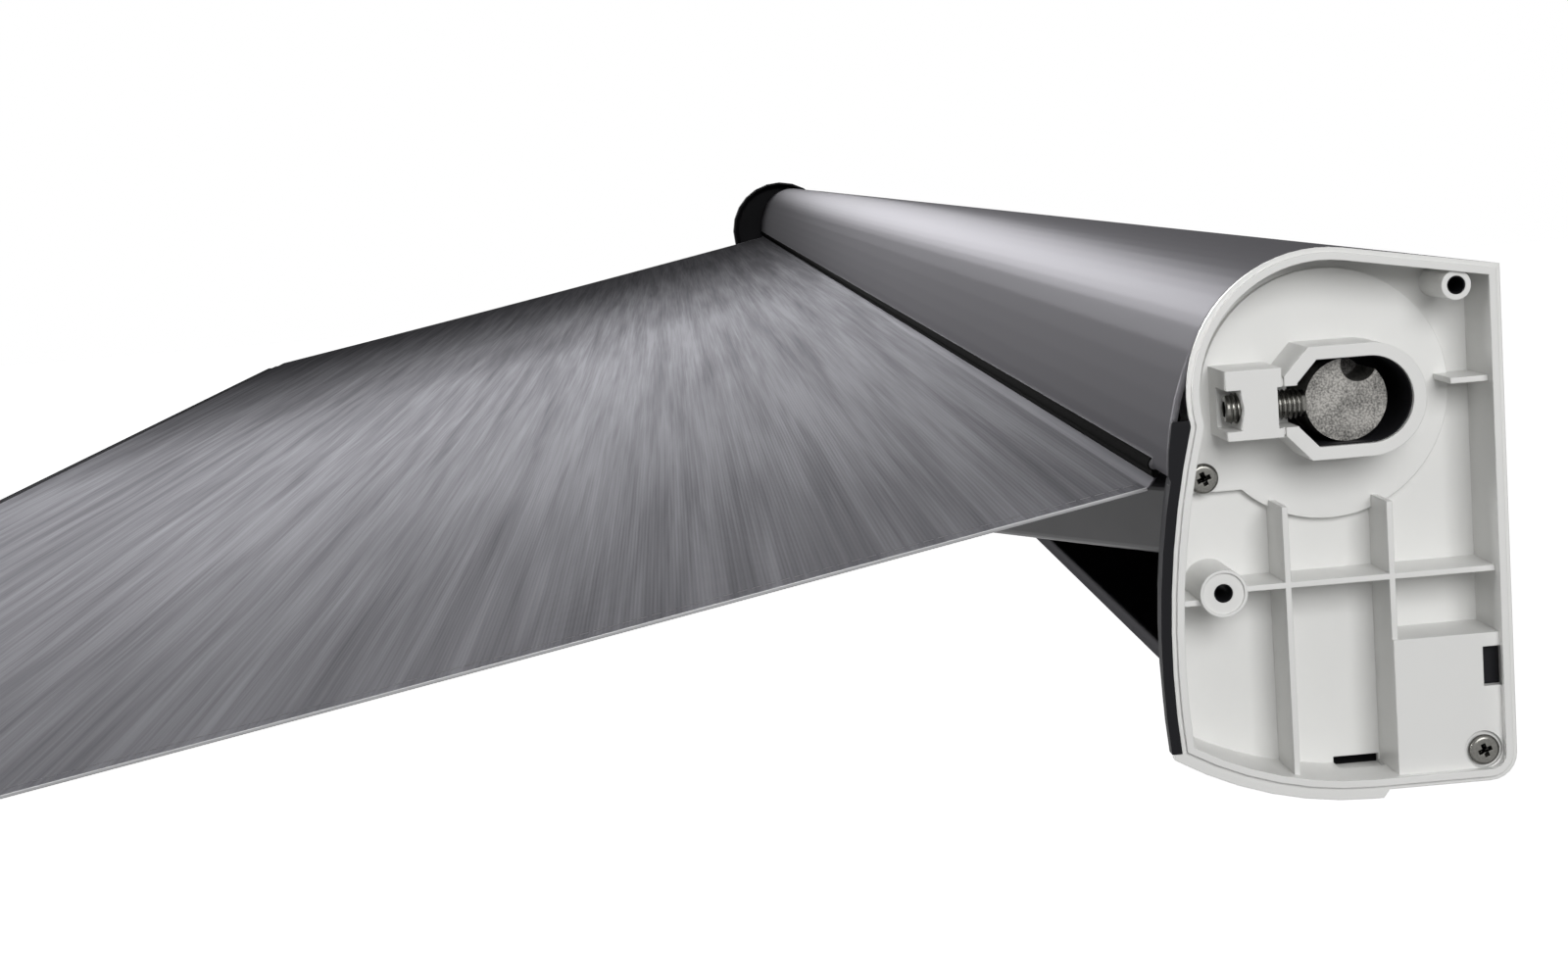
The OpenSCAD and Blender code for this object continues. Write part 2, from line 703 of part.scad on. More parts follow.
module elbow_pin() {
  at_elbow() {
    cylinder(r = pin_r, h = tongue_h + 2 * ear_t + 2 * seat_c + 3, center = true);
    for (s = [-1, 1]) translate([0, 0, s * (tongue_h / 2 + seat_c + ear_t + 1)])
      cylinder(r = pin_r + 2.5, h = 2, center = true);
  }
}
// The forearm in its own place, origin at the elbow pin
module at_forearm() { at_elbow() rotate([0, 0, -2 * swing]) children(); }
module forearm() {
  at_forearm() difference() {
    union() {
      arm_tube(mouth, arm_l - mouth, -half_pitch);
      tube_stub(mouth - 2, mouth + 30, -half_pitch);
      slab_z(tongue_h) {
        circle(knuckle_r);
        polygon([[0, knuckle_r], [-knuckle_r, 0], [-4, -arm_w / 2], [mouth, -half_pitch - arm_w / 2],
                 [mouth, -half_pitch + arm_w / 2]]);
      }
    }
    pin_hole(run_c);
  }
}
module forearm_tip(c) {
  at_forearm() difference() {
    union() {
      tube_stub(arm_l - mouth - 30, arm_l - mouth + 2, -half_pitch);
      slab_z(tongue_h) {
        translate([arm_l, -half_pitch]) circle(knuckle_r);
        translate([arm_l - mouth, -half_pitch - knuckle_r]) square([mouth, 2 * knuckle_r]);
      }
    }
    translate([arm_l, -half_pitch, 0]) pin_hole(c);
  }
}
open_c = 0.6;

arm_tint = [0.30, 0.30, 0.32];
cast_tint = [0.24, 0.24, 0.26];
module right_upper_arm() { color(arm_tint) upper_arm(); }
module right_elbow_fork() { color(cast_tint) elbow_fork(); }
module right_elbow_pin() { color("silver") elbow_pin(); }
module right_forearm() { color(arm_tint) forearm(); }
module right_forearm_tip() { color(cast_tint) forearm_tip(run_c); }
module left_upper_arm() { color(arm_tint) other_end() upper_arm(); }
module left_elbow_fork() { color(cast_tint) other_end() elbow_fork(); }
module left_elbow_pin() { color("silver") other_end() elbow_pin(); }
module left_forearm() { color(arm_tint) other_end() forearm(); }
module left_forearm_tip() { color(cast_tint) other_end() forearm_tip(open_c); }

// The shoulder bracket stands on the back wall and the lower shelf
module shoulder_bracket() {
  ear_z = shoulder_tongue_h / 2 + seat_c;
  port_gap = port_r + 2 + seat_c;
  difference() {
    intersection() {
      in_case() along_x(shoulder_x - 40, shoulder_x + 40) polygon(rim_outline(skin_t));
      union() {
        in_case() {
          translate([shoulder_x - 34, -skin_t - 4, skin_t]) cube([68, 4, 92]);
          translate([shoulder_x - 20, -under_d, skin_t]) cube([40, under_d - skin_t, 6]);
          for (x = [-20, 14])
            translate([shoulder_x + x, -skin_t - 40, skin_t]) cube([6, 40, 26]);
        }
        at_shoulder() for (s = [-1, 1]) translate([0, 0, s * (ear_z + ear_t / 2)]) slab_z(ear_t) {
          circle(knuckle_r);
          translate([-knuckle_r, 0]) square([2 * knuckle_r, shoulder_d - skin_t - 1]);
        }
      }
    }
    // Room for the lower screw port
    in_case() along_x(shoulder_x - 40, shoulder_x + 40)
      patch([port_low[0] - port_gap, 0], [port_low[0] + port_gap, port_low[1] + port_gap]);
    at_shoulder() pin_hole(run_c);
  }
}
module shoulder_pin() {
  at_shoulder() {
    cylinder(r = pin_r, h = shoulder_tongue_h + 2 * ear_t + 2 * seat_c + 3, center = true);
    for (s = [-1, 1]) translate([0, 0, s * (shoulder_tongue_h / 2 + seat_c + ear_t + 1)])
      cylinder(r = pin_r + 2.5, h = 2, center = true);
  }
}
module right_shoulder_bracket() { color(cast_tint) shoulder_bracket(); }
module left_shoulder_bracket() { color(cast_tint) other_end() shoulder_bracket(); }
module right_shoulder_pin() { color("silver") shoulder_pin(); }
module left_shoulder_pin() { color("silver") other_end() shoulder_pin(); }

// LEAD RAIL, its section drawn where it lies in the closed case

groove_r = 3.8;
groove_hole_r = 2.4;
slot_h = cloth_t + 2 * slide_c;
groove_y = -94;
groove_p = [groove_y, cloth_at(groove_y) - cloth_t / 2 - seat_c - groove_r];
rail_top = groove_p[1] + 1;
rail_back = -case_d + rail_depth;
function front_y(z, i) = front_c[0] - sqrt(pow(front_r - i, 2) - pow(z - front_c[1], 2));
function front_strip(z0, z1, i0, i1) = concat(
  [for (k = [0 : 8]) let (z = z0 + (z1 - z0) * k / 8) [front_y(z, i1), z]],
  [for (k = [8 : -1 : 0]) let (z = z0 + (z1 - z0) * k / 8) [front_y(z, i0), z]]);

module rail_section() {
  difference() {
    union() {
      polygon(front_strip(rail_low, rail_top, 0, rail_t));
      patch([front_y(rail_top, 1), rail_top - rail_t], [rail_back, rail_top]);
      patch([rail_back - rail_t, chamber_h - 9], [rail_back, rail_top]);
      patch([front_y(chamber_h, 1), chamber_h], [rail_back, chamber_h + rail_t]);
      disc(groove_p, groove_r);
    }
    disc(groove_p, groove_hole_r);
    // Slot that the cloth's edge cord slides in through
    patch(groove_p + [1.5, 0.2], groove_p + [groove_r + 4, 0.2 + slot_h]);
  }
}
module lead_rail() {
  color([0.13, 0.13, 0.14])
  on_rail() along_x(-rail_x + rail_cap_t, rail_x - rail_cap_t) rail_section();
}
module rail_cap() {
  on_rail() {
    along_x(rail_x - rail_cap_t, rail_x) {
      polygon(concat(
        [for (k = [0 : 8]) let (z = rail_low + (rail_top - rail_low) * k / 8) [front_y(z, 0), z]],
        arc([rail_back - 8, rail_top - 8], 8, 90, 0, 6),
        [[rail_back, chamber_h - 12], [rail_back - 4, 26], [front_y(rail_low, 0) + 12, rail_low]]));
    }
    along_x(rail_x - rail_cap_t - 12, rail_x - rail_cap_t + 0.1)
      patch([front_y(chamber_h + 15, rail_t) + 2, chamber_h + rail_t + run_c], [rail_back - rail_t - run_c, groove_p[1] - groove_r - run_c]);
  }
}
module right_rail_cap() { color([0.06, 0.06, 0.065]) rail_cap(); }
module left_rail_cap() { color([0.06, 0.06, 0.065]) other_end() rail_cap(); }

// Clevis on the rail's back that takes a forearm's tip
module arm_bracket() {
  ear_z = tongue_h / 2 + seat_c;
  reach = shoulder_d + arm_pitch * cos(slope);
  difference() {
    union() {
      on_rail() translate([shoulder_x - 22, rail_back, 38]) cube([44, 4, rail_top - 42]);
      at_tip() for (s = [-1, 1]) translate([0, 0, s * (ear_z + ear_t / 2)]) slab_z(ear_t) {
        circle(knuckle_r);
        translate([-knuckle_r, rail_back + reach - 2]) square([2 * knuckle_r, 2 - rail_back - reach]);
      }
    }
    // Cut flush with the rail's back
    on_rail() translate([shoulder_x - 40, rail_back - 30, -20]) cube([80, 30, 160]);
    at_tip() pin_hole(run_c);
  }
}
module rail_pin() {
  at_tip() {
    cylinder(r = pin_r, h = tongue_h + 2 * ear_t + 2 * seat_c + 3, center = true);
    for (s = [-1, 1]) translate([0, 0, s * (tongue_h / 2 + seat_c + ear_t + 1)])
      cylinder(r = pin_r + 2.5, h = 2, center = true);
  }
}
module right_arm_bracket() { color(cast_tint) arm_bracket(); }
module left_arm_bracket() { color(cast_tint) other_end() arm_bracket(); }
module right_rail_pin() { color("silver") rail_pin(); }
module left_rail_pin() { color("silver") other_end() rail_pin(); }

// SUPPORT LEGS, stowed along the rail's open channel

// Mid-depth of the channel
leg_y = (front_y(rail_low, rail_t) + rail_back - rail_t) / 2;
cheek_t = 1.6;
cheek_l = 18;
root_t = 1.5;
lock_l = 24;
lock_t = 1.2;
lever_r = 5;
lever_l = 7;
leg_out = 12;
foot_l = 22;
inner_w = leg_w - 2 * leg_t - 2 * slide_c;
cheek_y = leg_w / 2 + seat_c;

module at_leg(z) { on_rail() translate([leg_x, leg_y, z]) children(); }
// A square bar along x with rounded edges
module leg_bar(w, r, x0, x1) {
  translate([x0, 0, 0]) rotate([90, 0, 90]) linear_extrude(x1 - x0) polygon(round_rect(w, w, r));
}
// A plate or pin across the leg, from y0 to y1
module across(y0, y1) { translate([0, y1, 0]) rotate([90, 0, 0]) linear_extrude(y1 - y0) children(); }
module leg_bracket(z) {
  up = chamber_h - z;
  at_leg(z) {
    for (s = [-1, 1]) mirror([0, (1 - s) / 2, 0]) across(cheek_y, cheek_y + cheek_t) {
      circle(leg_w / 2);
      patch([-cheek_l, 0], [cheek_l, up]);
    }
    across(-cheek_y - cheek_t, cheek_y + cheek_t) patch([-cheek_l, up - root_t], [cheek_l, up]);
    across(-cheek_y - cheek_t, cheek_y + cheek_t) circle(leg_pin_r);
  }
}
module leg_tube(z) {
  at_leg(z) difference() {
    union() {
      difference() {
        leg_bar(leg_w, 2.5, -leg_l, 0);
        leg_bar(leg_w - 2 * leg_t, 1.2, -leg_l - 1, -leg_w);
      }
      // Round head at the pivot
      across(-leg_w / 2, leg_w / 2) circle(leg_w / 2);
    }
    across(-leg_w, leg_w) circle(leg_pin_r + run_c);
  }
}
module leg_lock(z) {
  at_leg(z) difference() {
    union() {
      leg_bar(leg_w + 2 * lock_t, 3, -leg_l - 4, -leg_l - 4 + lock_l);
      translate([-leg_l + 8, 0, -leg_w / 2 + lever_r + 1])
        across(leg_w / 2, leg_w / 2 + lever_l) circle(lever_r);
    }
    leg_bar(leg_w, 2.5, -leg_l, -leg_l + lock_l);
    leg_bar(inner_w + 2 * slide_c, 1.2, -leg_l - 5, -leg_l + 1);
  }
}
module leg_inner(z) {
  at_leg(z) difference() {
    leg_bar(inner_w, 1.5, -leg_l - leg_out, -leg_l - leg_out + leg_inner_l);
    leg_bar(inner_w - 2 * leg_t, 1.2, -leg_l - leg_out - 1, -leg_l - leg_out + leg_inner_l + 1);
  }
}
module leg_foot(z) {
  at_leg(z) translate([-leg_l - leg_out, 0, 0]) {
    leg_bar(leg_w - 3, 3, -foot_l + 4, 0);
    leg_bar(leg_w, 4, -foot_l, -foot_l + 4.1);
    leg_bar(inner_w - 2 * leg_t - 2 * run_c, 1.2, -0.1, 16);
  }
}
leg_tint = [0.75, 0.75, 0.77];
module right_leg_bracket() { color("silver") leg_bracket(leg_high); }
module left_leg_bracket() { color("silver") other_end() leg_bracket(leg_low); }
module right_leg_tube() { color(leg_tint) leg_tube(leg_high); }
module left_leg_tube() { color(leg_tint) other_end() leg_tube(leg_low); }
module right_leg_lock() { color([0.08, 0.08, 0.09]) leg_lock(leg_high); }
module left_leg_lock() { color([0.08, 0.08, 0.09]) other_end() leg_lock(leg_low); }
module right_leg_inner() { color("silver") leg_inner(leg_high); }
module left_leg_inner() { color("silver") other_end() leg_inner(leg_low); }
module right_leg_foot() { color([0.08, 0.08, 0.09]) leg_foot(leg_high); }
module left_leg_foot() { color([0.08, 0.08, 0.09]) other_end() leg_foot(leg_low); }

// CLOTH

exit_p = [-exit_d, exit_h];
// Where the cloth leaves the roll: the line from the exit that just touches it
wrap_r = roll_r + seat_c + cloth_t / 2;
reach_l = norm(exit_p - axis);
wrap_a = atan2(exit_p[1] - axis[1], exit_p[0] - axis[0]) - acos(wrap_r / reach_l);
wrap_p = axis + wrap_r * [cos(wrap_a), sin(wrap_a)];
out = travel * out_dir;
// The cloth's last stretch: over the rail's top, then down into the groove
cord_r = groove_hole_r - slide_c;
groove_x = rail_x - rail_cap_t - seat_c;
slot_z = groove_p[1] + 0.2 + slot_h / 2;
over_p = out + [groove_y + 11, cloth_at(groove_y + 11)];
mouth_p = out + [groove_y + 4.2, slot_z];
cord_p = out + [groove_y + 1, slot_z];
module awning_cloth() {
  bend_n = [cos(wrap_a), sin(wrap_a)] * cloth_t / 2;
  slope_n = [-sin(slope), cos(slope)] * cloth_t / 2;
  dip_n = [0, 1] * cloth_t / 2;
  color([0.5, 0.5, 0.52])
  in_case() {
    along_x(-cloth_x, cloth_x) polygon([
      exit_p + (bend_n + slope_n) * 0.8, over_p + slope_n, over_p - slope_n,
      exit_p - (bend_n + slope_n) * 0.8, wrap_p - bend_n, wrap_p + bend_n]);
    // Between the rail's end caps
    along_x(-groove_x, groove_x) {
      polygon([over_p + slope_n, mouth_p + dip_n, cord_p + dip_n, cord_p - dip_n,
               mouth_p - dip_n, over_p - slope_n]);
      disc(out + groove_p, cord_r);
    }
  }
}

// WALL BRACKETS

module bracket_screw_places() {
  for (x = [-bracket_x, 0, bracket_x], s = [-1, 1])
    in_case() translate([x + s * bolt_pitch / 2, 0, 122]) rotate([90, 0, 0]) children();
}
module wall_bracket(x) {
  color([0.2, 0.2, 0.21])
  difference() {
    union() {
      translate([x - bracket_w / 2, -bracket_t, -18]) cube([bracket_w, bracket_t, case_z + 18 + 132]);
      translate([x - bracket_w / 2, -bracket_t - 44, case_z - bracket_t]) cube([bracket_w, 44.1, bracket_t]);
      for (s = [-1, 1]) translate([x + s * (bracket_w / 2 - 2.5) - 2.5, 0, 0]) rotate([90, 0, 90])
        linear_extrude(5) polygon([[-bracket_t + 0.1, -14], [-bracket_t + 0.1, case_z - bracket_t + 0.1],
                                   [-bracket_t - 38, case_z - bracket_t + 0.1]]);
    }
    for (s = [-1, 1]) translate([x + s * bolt_pitch / 2, 1, 0]) rotate([90, 0, 0])
      cylinder(r = bolt_r, h = bracket_t + 2);
    bracket_screw_places() cylinder(r = case_screw_r + run_c, h = 40, center = true);
  }
}
module left_wall_bracket() { wall_bracket(-bracket_x); }
module middle_wall_bracket() { wall_bracket(0); }
module right_wall_bracket() { wall_bracket(bracket_x); }
module bracket_screws() {
  color("silver")
  bracket_screw_places() {
    translate([0, 0, -bracket_t]) cylinder(r = case_screw_r, h = bracket_t + skin_t + 1);
    translate([0, 0, skin_t]) cylinder(r = 5, h = 3.5);
  }
}

case_shell();
lip_seal();
right_end_frame();
left_end_frame();
right_side_seal();
left_side_seal();
left_end_cover();
roller_shaft();
clamp_screw();
end_screws();
cover_screws();
left_wall_bracket();
middle_wall_bracket();
right_wall_bracket();
bracket_screws();
right_shoulder_bracket();
left_shoulder_bracket();
right_shoulder_pin();
left_shoulder_pin();
awning_cloth();
roller_tube();
cloth_roll();
right_roller_plug();
left_roller_plug();
worm_wheel();
worm_shaft();
crank_eye();
right_upper_arm();
right_elbow_fork();
right_elbow_pin();
right_forearm();
right_forearm_tip();
left_upper_arm();
left_elbow_fork();
left_elbow_pin();
left_forearm();
left_forearm_tip();
lead_rail();
right_rail_cap();
left_rail_cap();
right_arm_bracket();
left_arm_bracket();
right_rail_pin();
left_rail_pin();
right_leg_bracket();
left_leg_bracket();
right_leg_tube();
right_leg_lock();
left_leg_tube();
left_leg_lock();
right_leg_inner();
right_leg_foot();
left_leg_inner();
left_leg_foot();
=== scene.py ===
"""Looks of a roll out awning: its cloth, screws, finishes and a plain studio around the CAD frame."""

import logging
import math
from dataclasses import dataclass
from enum import Enum
from typing import Any, Callable, Optional, Sequence, Union

import bpy
from mathutils import Matrix, Vector

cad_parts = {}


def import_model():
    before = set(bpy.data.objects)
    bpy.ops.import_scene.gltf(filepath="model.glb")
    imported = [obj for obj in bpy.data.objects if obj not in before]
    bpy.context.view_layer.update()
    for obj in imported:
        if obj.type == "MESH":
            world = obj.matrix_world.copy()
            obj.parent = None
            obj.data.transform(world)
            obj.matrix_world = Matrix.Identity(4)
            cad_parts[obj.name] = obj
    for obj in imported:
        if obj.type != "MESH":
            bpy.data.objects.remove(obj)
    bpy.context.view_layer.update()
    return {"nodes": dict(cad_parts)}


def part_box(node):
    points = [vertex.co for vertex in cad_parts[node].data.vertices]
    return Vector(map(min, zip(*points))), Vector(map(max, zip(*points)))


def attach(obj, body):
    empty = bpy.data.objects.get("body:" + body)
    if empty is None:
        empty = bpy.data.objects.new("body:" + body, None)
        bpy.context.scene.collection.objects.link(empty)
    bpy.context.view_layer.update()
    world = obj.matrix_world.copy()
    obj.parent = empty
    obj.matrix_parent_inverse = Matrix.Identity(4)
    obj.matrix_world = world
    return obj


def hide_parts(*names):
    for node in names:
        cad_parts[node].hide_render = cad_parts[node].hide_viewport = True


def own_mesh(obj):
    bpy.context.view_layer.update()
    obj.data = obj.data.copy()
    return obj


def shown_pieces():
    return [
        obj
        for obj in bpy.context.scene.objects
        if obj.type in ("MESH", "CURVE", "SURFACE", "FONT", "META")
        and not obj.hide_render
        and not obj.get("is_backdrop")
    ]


LOG = logging.getLogger("awning")
MM = 0.001

Colour = tuple[float, float, float]
Point = tuple[float, float, float]
Piece = bpy.types.Object
Socket = bpy.types.NodeSocket

WHITE: Colour = (1.0, 1.0, 1.0)
EVEN: Point = (1.0, 1.0, 1.0)


class Body(Enum):
    """The moving bodies that new pieces ride on."""

    CASE = "case"
    RAIL = "rail"
    ROLLER = "roller"


class Slot(Enum):
    """The record's material slots, by whose names the screws take their finish."""

    CLOTH = "cloth"
    SCREW_STEEL = "screw_steel"
    DARK_SCREW = "dark_screw"
    DARK_MOULDING = "dark_moulding"
    SEAL_RUBBER = "seal_rubber"


class Side(Enum):
    """The two ends of the awning, as a sign along X."""

    RIGHT = 1
    LEFT = -1


class Wire:
    """A number on its way through a shader, which Python's operators can work on."""

    def __init__(self, graph: "Graph", socket: Socket) -> None:
        """Keeps the output socket that carries the number, and its node tree."""
        self.graph = graph
        self.socket = socket

    def _math(self, operation: str, left: Any, right: Any) -> "Wire":
        """One Math node on two values or wires."""
        made = self.graph.node("ShaderNodeMath", {"operation": operation}, {0: left, 1: right})
        return Wire(self.graph, made.outputs[0])

    def __add__(self, other: Any) -> "Wire":
        """The sum."""
        return self._math("ADD", self, other)

    def __radd__(self, other: Any) -> "Wire":
        """The sum, with the plain number first."""
        return self._math("ADD", other, self)

    def __sub__(self, other: Any) -> "Wire":
        """The difference."""
        return self._math("SUBTRACT", self, other)

    def __rsub__(self, other: Any) -> "Wire":
        """The difference, with the plain number first."""
        return self._math("SUBTRACT", other, self)

    def __mul__(self, other: Any) -> "Wire":
        """The product."""
        return self._math("MULTIPLY", self, other)

    def __rmul__(self, other: Any) -> "Wire":
        """The product, with the plain number first."""
        return self._math("MULTIPLY", other, self)


class Graph:
    """A node tree, with one method that makes every node."""

    def __init__(self, tree: bpy.types.NodeTree) -> None:
        """Takes over the node tree of a material or a world, and empties it."""
        self.tree = tree
        self.tree.nodes.clear()

    def node(
        self,
        kind: str,
        settings: Optional[dict[str, Any]] = None,
        inputs: Optional[dict[Union[str, int], Any]] = None,
    ) -> bpy.types.Node:
        """Makes a node, sets it up and feeds its sockets.

        Args:
            kind: the node's type.
            settings: properties that are set first; "stops" gives a ramp its places and colours.
            inputs: values, sockets or wires for the input sockets, by name or place.

        Returns:
            The new node.
        """
        made = self.tree.nodes.new(kind)
        for key, value in (settings or {}).items():
            if key == "stops":
                ramp = made.color_ramp
                while len(ramp.elements) < len(value):
                    ramp.elements.new(0.5)
                for element, (at, colour) in zip(ramp.elements, value):
                    element.position = at
                    element.color = (*colour, 1.0)
            else:
                setattr(made, key, value)
        for key, value in (inputs or {}).items():
            self.feed(made.inputs[key], value)
        return made

    def feed(self, socket: Socket, value: Any) -> None:
        """Links or sets one input socket.

        Args:
            socket: the input.
            value: a wire, a socket, a colour or a number.
        """
        if isinstance(value, Wire):
            self.tree.links.new(value.socket, socket)
        elif isinstance(value, Socket):
            self.tree.links.new(value, socket)
        elif isinstance(value, tuple) and socket.type == "RGBA":
            socket.default_value = (*value, 1.0)
        else:
            socket.default_value = value


class Surface(Graph):
    """One material's node tree, built round its surface shader."""

    def __init__(self, name: str) -> None:
        """Makes a material that has only its surface shader.

        Args:
            name: the material's name.
        """
        self.material = bpy.data.materials.new(name)
        self.material.use_nodes = True
        super().__init__(self.material.node_tree)
        self.shader = self.node("ShaderNodeBsdfPrincipled")
        self.output = self.node("ShaderNodeOutputMaterial", {}, {"Surface": self.shader.outputs[0]})
        self.place = self.node("ShaderNodeTexCoord").outputs["Object"]

    def set(self, **values: Any) -> None:
        """Sets the surface shader's own sockets, with _ for a space in a name."""
        for key, value in values.items():
            self.feed(self.shader.inputs[key.replace("_", " ")], value)

    def noise(self, scale: float, stretch: Point = EVEN, detail: float = 4.0) -> Wire:
        """Smooth noise over the piece.

        Args:
            scale: noise cells per metre.
            stretch: how much each axis is scaled first.
            detail: number of finer layers.

        Returns:
            The noise, mostly between 0.3 and 0.7.
        """
        mapped = self.node("ShaderNodeMapping", {}, {"Vector": self.place, "Scale": stretch})
        inputs = {"Vector": mapped.outputs[0], "Scale": scale, "Detail": detail}
        return Wire(self, self.node("ShaderNodeTexNoise", {}, inputs).outputs[0])

    def vary(self, middle: float, swing: float, scale: float) -> Wire:
        """A number that wanders round the middle, by half the swing, with noise of that scale."""
        return middle + swing * (self.noise(scale) - 0.5)

    def ramp(self, value: Wire, stops: Sequence[tuple[float, Colour]]) -> Socket:
        """Turns a number into a colour, by pairs of place and colour."""
        return self.node("ShaderNodeValToRGB", {"stops": stops}, {0: value}).outputs[0]

    def drift(self, colour: Colour) -> None:
        """Lets the base colour drift slowly, from a tenth darker to a tenth paler."""
        cloud = self.noise(3.0, (0.4, 1.0, 1.0))
        self.set(Base_Color=self.ramp(cloud, [(0.3, shade(colour, 0.9)), (0.7, shade(colour, 1.1))]))

    def rounded(self, radius: float) -> Socket:
        """A normal that rounds sharp edges, with a radius in metres."""
        return self.node("ShaderNodeBevel", {"samples": 4}, {"Radius": radius}).outputs[0]

    def bump(self, height: Wire, depth: float, strength: float, normal: Any = None) -> None:
        """Gives the surface a relief.

        Args:
            height: the relief's height, 0 to 1.
            depth: the real height of 1, in metres.
            strength: how strongly it shows.
            normal: a normal to start from, such as a rounded edge's.
        """
        inputs = {"Height": height, "Distance": depth, "Strength": strength}
        if normal is not None:
            inputs["Normal"] = normal
        self.set(Normal=self.node("ShaderNodeBump", {}, inputs).outputs[0])


def shade(colour: Colour, factor: float) -> Colour:
    """A colour with each channel multiplied by a factor, none above 1."""
    return (min(1.0, colour[0] * factor), min(1.0, colour[1] * factor), min(1.0, colour[2] * factor))


@dataclass(frozen=True)
class Coat:
    """What all finishes share: a colour, and a material that each kind paints in its own way."""

    colour: Colour

    def material(self, name: str) -> bpy.types.Material:
        """Makes the finish's material.

        Args:
            name: the material's name.

        Returns:
            The material.
        """
        surface = Surface(name)
        self.paint(surface)
        return surface.material

    def paint(self, g: Surface) -> None:
        """Sets up the material's nodes, which every kind of finish does for itself."""
        raise NotImplementedError


@dataclass(frozen=True)
class PowderCoat(Coat):
    """Satin paint on metal, with a faint orange-peel relief."""

    roughness: float = 0.38
    gloss: float = 0.4

    def paint(self, g: Surface) -> None:
        """Sets up the paint's nodes.

        Args:
            g: the material's node tree.
        """
        g.drift(self.colour)
        g.set(Roughness=g.vary(self.roughness, 0.08, 60.0), Specular_IOR_Level=self.gloss)
        g.bump(g.noise(900.0, detail=2.0), 0.03 * MM, 0.3, g.rounded(0.5 * MM))


@dataclass(frozen=True)
class SatinPaint(Coat):
    """Dark paint whose even sheen shows a lamp as a long soft highlight."""

    sheen: Colour
    share: float = 0.5
    roughness: float = 0.4
    edge: float = 3.0 * MM

    def paint(self, g: Surface) -> None:
        """Sets up the paint's nodes: a plain coat, mixed with a mirror that has no edge glare.

        Args:
            g: the material's node tree.
        """
        normal = g.rounded(self.edge)
        g.drift(self.colour)
        g.set(Roughness=0.8, Specular_IOR_Level=0.0, Normal=normal)
        inputs = {"Color": self.sheen, "Roughness": self.roughness, "Normal": normal}
        gloss = g.node("ShaderNodeBsdfAnisotropic", {}, inputs)
        layers = {0: self.share, 1: g.shader.outputs[0], 2: gloss.outputs[0]}
        g.feed(g.output.inputs["Surface"], g.node("ShaderNodeMixShader", {}, layers).outputs[0])


@dataclass(frozen=True)
class Moulding(Coat):
    """Injection-moulded plastic with rounded edges and flow marks."""

    roughness: float = 0.36
    gloss: float = 0.5
    edge: float = 0.5 * MM
    grain: float = 0.02 * MM

    def paint(self, g: Surface) -> None:
        """Sets up the plastic's nodes.

        Args:
            g: the material's node tree.
        """
        flow = g.noise(14.0, (1.0, 1.0, 0.6))
        g.set(Base_Color=g.ramp(flow, [(0.35, shade(self.colour, 0.95)), (0.65, self.colour)]))
        g.set(Roughness=g.vary(self.roughness, 0.12, 90.0), Specular_IOR_Level=self.gloss)
        g.bump(g.noise(700.0, detail=3.0), self.grain, 0.5, g.rounded(self.edge))


@dataclass(frozen=True)
class Cast(Coat):
    """Rough cast metal with a sandy skin."""

    metallic: float = 0.5

    def paint(self, g: Surface) -> None:
        """Sets up the metal's nodes.

        Args:
            g: the material's node tree.
        """
        sand = g.noise(1500.0, detail=5.0)
        tone = 0.6 * sand + 0.4 * g.noise(110.0)
        stops = [(0.38, shade(self.colour, 0.3)), (0.5, self.colour), (0.62, shade(self.colour, 1.9))]
        g.set(Base_Color=g.ramp(tone, stops), Metallic=self.metallic, Roughness=0.5 + 0.3 * (sand - 0.5))
        g.bump(sand, 0.2 * MM, 0.8)


@dataclass(frozen=True)
class BareMetal(Coat):
    """Bare or plated metal with fine drawn or turned lines."""

    roughness: float = 0.28
    stretch: Point = (0.02, 1.0, 1.0)

    def paint(self, g: Surface) -> None:
        """Sets up the metal's nodes.

        Args:
            g: the material's node tree.
        """
        lines = g.noise(1500.0, self.stretch, 3.0)
        g.set(Base_Color=g.ramp(lines, [(0.35, shade(self.colour, 0.8)), (0.65, self.colour)]))
        g.set(Metallic=1.0, Roughness=g.vary(self.roughness, 0.18, 45.0))
        g.bump(lines, 0.02 * MM, 0.5, g.rounded(0.3 * MM))


@dataclass(frozen=True)
class Woven(Coat):
    """Awning cloth: a plain weave with lighter slubs that run along the case."""

    dark: Colour
    pale: Colour
    thread: float = 1.4 * MM

    # Blender's wave node turns this many radians for each unit of scale and metre
    WAVE_TURN = 20.0

    def paint(self, g: Surface) -> None:
        """Sets up the cloth's nodes.

        Args:
            g: the material's node tree.
        """
        slub = g.noise(1.0, (2.2, 90.0, 90.0), 3.0)
        streak = g.noise(1.0, (5.0, 520.0, 520.0), 3.0)
        cloud = g.noise(2.2, (0.6, 1.0, 1.0), 2.0)
        tone = 0.42 * slub + 0.28 * streak + 0.30 * cloud
        stops = [(0.38, self.dark), (0.48, self.colour), (0.64, self.pale)]
        g.set(Base_Color=g.ramp(tone, stops), Roughness=0.92, Specular_IOR_Level=0.0)
        weave = self._threads(g, "X") * self._threads(g, "Y")
        g.bump(0.6 * weave + 0.4 * streak, 0.25 * MM, 0.6)

    def _threads(self, g: Surface, direction: str) -> Wire:
        """One set of parallel threads.

        Args:
            g: the material's node tree.
            direction: the axis that the threads follow each other along.

        Returns:
            The threads' height.
        """
        scale = 2.0 * math.pi / self.WAVE_TURN / self.thread
        inputs = {"Vector": g.place, "Scale": scale, "Distortion": 0.5, "Detail": 1.0}
        return Wire(g, g.node("ShaderNodeTexWave", {"bands_direction": direction}, inputs).outputs[1])


